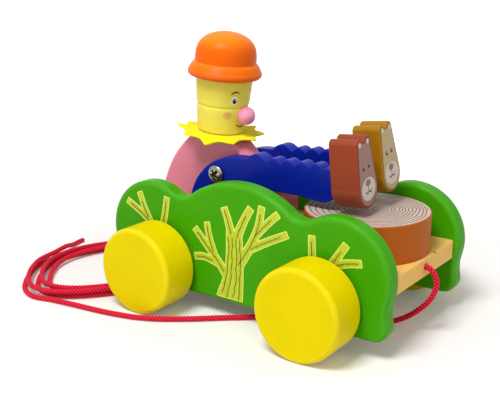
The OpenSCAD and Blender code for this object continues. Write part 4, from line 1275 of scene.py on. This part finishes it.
def hat():
    """The bowler hat, hollowed where it sits on the head: its rolled brim, the dip above it and the crown."""
    edge, brim, crown, crown_low, crown_h = 2.6 * MM, 21.9 * MM, 18.1 * MM, 8.8 * MM, 17.4 * MM
    hollow, hollow_deep, sunk, steps = 17.19 * MM, 3.05 * MM, 3 * MM, 24
    profile = [(0, hollow_deep), (hollow, hollow_deep), (hollow, 0.3 * MM), (17.5 * MM, 0)]
    profile += arc((brim - edge, edge), edge, -90, 30, 12)
    for less, height in ((1.0, 5.0), (1.8, 6.6), (2.7, 7.8)):
        profile.append((brim - less * MM, height * MM))
    for more, height in ((0.5, 8.35), (0.14, 8.6)):
        profile.append((crown + more * MM, height * MM))
    for k in range(steps + 1):
        rise = 1 - (1 - k / steps) ** 2
        profile.append((crown * math.sqrt(max(1 - rise ** 3.2, 0)), crown_low + crown_h * rise))
    into = HEAD_FRAME @ Matrix.Translation((0, 0, HEAD_Z + HEAD_H - sunk))
    keep(smooth(turned("bowler_hat", profile, into, ORANGE, 112)), "chassis", "orange_paint", "hat")


# How far each petal's tip turns up or down, from the one in front round by the left, in millimetres
PETAL_LIFT = (0.0, 0.3, 0.6, -1.2, 0.9, 0.3, 2.3, 0.1, -2.4, -0.7)


def petal_lift(turn):
    """Height of the ruff's edge at a share of the whole turn, in metres."""
    at = turn * len(PETAL_LIFT)
    k = int(at)
    here, there = PETAL_LIFT[k % len(PETAL_LIFT)], PETAL_LIFT[(k + 1) % len(PETAL_LIFT)]
    ripple = -0.4 * math.sin(math.pi * at)
    return (here + (there - here) * ease(at - k) + ripple) * MM


def ruff():
    """Felt collar with pointed petals that turn up and down a little."""
    petals, across = len(PETAL_LIFT), 16
    steps = petals * 24
    hole, flat, full, notch = 4.04 * MM, 14.15 * MM, 26 * MM, 4.5 * MM
    middle, half, matting, edge = 0.75 * MM, 0.68 * MM, 0.07 * MM, 0.25 * MM
    bm = bmesh.new()
    rings = []
    for i in range(steps):
        a = 2 * math.pi * i / steps
        out = Vector((math.cos(a), math.sin(a), 0))
        tip = full - notch * abs(math.sin(petals / 2 * a)) ** 1.2
        edge_lift = petal_lift(i / steps)
        top, low = [], []
        for k in range(across + 1):
            share = k / across
            r = hole + (tip - hole) * share
            lift = (max(r - flat, 0) / (full - flat)) ** 1.8 * edge_lift
            matted = matting * share * noise.noise(out * r * 900 + Vector((0, 0, 1.2)))
            thick = half * (1 - 0.35 * max(share - 0.93, 0) / 0.07)
            spot = out * r + Vector((0, 0, middle + lift))
            top.append(bm.verts.new(HEAD_FRAME @ (spot + Vector((0, 0, thick + matted)))))
            low.append(bm.verts.new(HEAD_FRAME @ (spot - Vector((0, 0, thick)))))
        brink = bm.verts.new(HEAD_FRAME @ (spot + out * edge))
        rings.append(top + [brink] + low[::-1])
    for here, there in zip(rings, rings[1:] + rings[:1]):
        wall(bm, here, there)
    felt = from_bmesh("felt_ruff", bm, FELT)
    felt.data.shade_smooth()
    fuzz = grown("ruff_fibres", felt.data.copy(), FIBRES, Density=500000.0, Length=1.1 * MM,
                 Thickness=0.035 * MM, Seed=5, Material=FELT)
    keep(felt, "chassis", "felt", "collar")
    keep(fuzz, "chassis", "felt")


body()
head()
nose()
hat()
ruff()


# The figure's face: a plain peg doll's, calm, of our own drawing
def doll_face():
    mean_r = 14.6 * MM

    def on_head(u, v, height):
        a = u / mean_r
        r = head_radius(v) + height
        return HEAD_FRAME @ Vector((r * math.cos(a), r * math.sin(a), HEAD_Z + v))

    for label, side in (("right", -1), ("left", 1)):
        eye = 7.2 * side
        brow = ((eye - 2.4, 25.3 + 0.4 * side), (eye, 26.5), (eye + 2.4, 25.3 - 0.4 * side))
        marks = (
            ("eye", oval(eye, 21.4, 1.9, 2.5), 0.05, EYE_WHITE, 0.24),
            ("pupil", oval(eye, 21.0, 1.15, 1.55), 0.09, EYE_INK, 0.2),
            ("glint", oval(eye + 0.4, 21.6, 0.36, 0.4), 0.12, EYE_WHITE, 0.12),
            ("brow", limb(brow, (0.5, 0.9, 0.5)), 0.06, BROW_INK, 0.2),
            ("cheek", oval(10.6 * side, 12.4, 2.5, 2.1), 0.05, CHEEK_INK, 0.3),
        )
        marked(f"{label}_", marks, (eye - 7, 8), (eye + 7, 29), on_head, "chassis", "straw_paint")
    lips = ((-4.6, 6.9), (-2.6, 5.6), (0, 5.1), (2.6, 5.6), (4.6, 6.9))
    smile = ("smile", limb(lips, (0.5, 0.9, 1.1, 0.9, 0.5)), 0.06, LIP_INK, 0.2)
    marked("", [smile], (-6, 3), (6, 9), on_head, "chassis", "straw_paint")


doll_face()


# Arms with their scalloped upper edges, and the bear-headed mallets
def arm(label, side):
    """An arm with its tail, drawn in by a hair so that the tail stays clear of its slot."""
    node = f"{label}_arm"
    inner_face, outer_face, soft, hair = 9 * MM, 17.6 * MM, 0.8 * MM, 0.06 * MM
    loops = side_outlines(node, side * 16.5 * MM)
    near, far = sorted((-side * inner_face, -side * outer_face))
    holes = [(rounded(loop, 1), near, far) for loop in loops[1:]]
    outline = drawn_in(rounded(loops[0], 3), hair)
    board = plate(f"{label}_arm_plank", outline, near, far, soft, UPRIGHT, BLUE, holes, 4)
    keep(smooth(board), node, "blue_paint", node)


def mallet(label, side, paint, field, slot):
    """A bear-headed mallet with the plain face of a teddy, painted on its front."""
    node = f"{label}_mallet_head"
    thick, cut, soft = 17 * MM, 14 * MM, 1.0 * MM
    into = mallet_frame(side) @ FACING
    facing = into.to_3x3() @ Vector((0, 0, 1))
    loops = section(node, into @ Vector((0, 0, cut)), facing, into.inverted())
    outline = rounded(eased(loops[0], 1.1 * MM, 3.6 * MM), 4)
    block = plate(f"{label}_bear_block", outline, 0, thick, soft, into, paint, steps=5)
    keep(smooth(block), f"{label}_arm", slot, node)

    def on_front(u, v, height):
        return into @ Vector((u, v, thick + height))

    def pair(across, up, wide, high, shift=0):
        return joined(oval(shift - across, up, wide, high), oval(shift + across, up, wide, high))

    whole = outline_distance(outline)
    lips = ((-3.3, -0.3), (-1.8, -1.7), (0, -0.7), (1.8, -1.7), (3.3, -0.3))
    mouth = joined(limb(((0, 2.6), (0, -0.6)), (0.5, 0.5)), limb(lips, (0.4, 0.7, 0.7, 0.7, 0.4)))
    marks = (
        ("border", inside_by(whole, 1.15), 0.04, BROW_INK, 0.3),
        ("field", inside_by(whole, 1.5), 0.07, field, 0.3),
        ("muzzle", oval(0, 0.4, 7.3, 6.2), 0.1, MUZZLE, 0.3),
        ("snout", oval(0, 3.9, 2.7, 1.8), 0.14, SNOUT, 0.22),
        ("mouth", mouth, 0.14, EYE_INK, 0.18),
        ("right_eye", oval(-2.9, 12.4, 1.15, 1.4), 0.12, EYE_INK, 0.18),
        ("left_eye", oval(2.9, 12.4, 1.15, 1.4), 0.12, EYE_INK, 0.18),
        ("glints", pair(2.9, 12.95, 0.38, 0.38, 0.35), 0.15, EYE_WHITE, 0.12),
        ("ears", pair(4.2, 25.4, 1.35, 1.35), 0.1, MUZZLE, 0.22),
    )
    marked(f"{label}_bear_", marks, (-11, -11), (11, 29), on_front, f"{label}_arm", slot)


arm("right", -1)
arm("left", 1)
mallet("right", -1, BROWN, BROWN_FACE, "brown_paint")
mallet("left", 1, GOLD, GOLD_FACE, "gold_paint")


# Countersunk screws under the deck
def deck_screws(name, node, places):
    head_r, head_h, shank_r, length, count = 3.5 * MM, 2.1 * MM, 1.75 * MM, 22.8 * MM, 32
    slot_half, slot_reach, slot_deep, taper = 0.45 * MM, 1.9 * MM, 1.3 * MM, 0.55
    sunk = 0.05 * MM
    cross = []
    for k in range(4):
        quarter = Matrix.Rotation(k * math.pi / 2, 2)
        for corner in ((slot_half, -slot_half), (slot_reach, -slot_half), (slot_reach, slot_half)):
            cross.append(quarter @ Vector(corner))
    bm = bmesh.new()
    outlines = (
        (circle((0, 0), head_r, count), 0), (circle((0, 0), shank_r, count), head_h),
        (circle((0, 0), shank_r, count), length), (cross, 0), ([taper * p for p in cross], slot_deep))
    head, neck, shank, lip, bottom = (rim(bm, points, height, Matrix()) for points, height in outlines)
    wall(bm, neck, head)
    wall(bm, shank, neck)
    bm.faces.new(shank)
    wall(bm, lip, bottom)
    bm.faces.new(bottom)
    filled(bm, [head, lip])
    pattern = from_bmesh("screw_pattern", bm, STEEL)
    base = plain_mesh(name, [(x * MM, y * MM, DECK_UNDER + sunk) for x, y in places])
    screws = grown(name, base, SCREWS, Head=pattern, Material=STEEL)
    bpy.data.objects.remove(pattern)
    keep(smooth(screws, 30), "chassis", "steel", node)


deck_screws("body_fixings", "body_screws", ((-79.2, 0), (-17.2, 0)))
deck_screws("stump_fixings", "stump_screws", ((53.7, -20), (53.7, 20)))


# Floor, backdrop and light
def seen_directly(tree):
    """1 for what the camera sees straight, in a mirror or through glass, and 0 for light that spreads."""
    path = add(tree, "ShaderNodeLightPath").outputs
    first = maths(tree, "MAXIMUM", path["Is Camera Ray"], path["Is Glossy Ray"])
    return maths(tree, "MAXIMUM", first, path["Is Transmission Ray"])


def studio():
    size = 4.0
    corners = [(-size, -size, 0), (size, -size, 0), (size, size, 0), (-size, size, 0)]
    mesh = plain_mesh("studio_floor", corners, faces=[(0, 1, 2, 3)])
    material, tree = new_material("white_floor")
    tree.nodes.clear()
    paper = add(tree, "ShaderNodeBsdfDiffuse", {"Color": (0.86, 0.84, 0.82, 1)}).outputs[0]
    away = length_of(tree, object_place(tree, shift=(0.03, 0, 0)))
    glow = times(tree, seen_directly(tree), span(tree, away, 0.12, 0.5, 0.08, 0.8))
    lift = add(tree, "ShaderNodeEmission", {"Color": (1, 1, 1, 1), "Strength": glow}).outputs[0]
    both = add(tree, "ShaderNodeAddShader", {0: paper, 1: lift}).outputs[0]
    add(tree, "ShaderNodeOutputMaterial", {"Surface": both})
    link("studio_floor", mesh, [material])

    world = bpy.data.worlds.new("studio_world")
    world.use_nodes = True
    tree = world.node_tree
    strength = span(tree, seen_directly(tree), 0, 1, 0.42, 1)
    feed(tree, tree.nodes["Background"], {"Color": (1, 1, 1, 1), "Strength": strength})
    scene.world = world

    lamps = (("key_light", (0.02, -0.5, 0.9), 7.9, 0.36), ("fill_light", (0.8, -0.45, 0.5), 1.2, 0.8))
    aim = Vector((-0.02, 0, 0.06))
    for name, place, power, width in lamps:
        lamp = bpy.data.lights.new(name, "AREA")
        lamp.energy = power
        lamp.size = width
        holder = bpy.data.objects.new(name, lamp)
        holder.location = place
        holder.rotation_euler = (aim - holder.location).to_track_quat("-Z", "Y").to_euler()
        scene.collection.objects.link(holder)


studio()
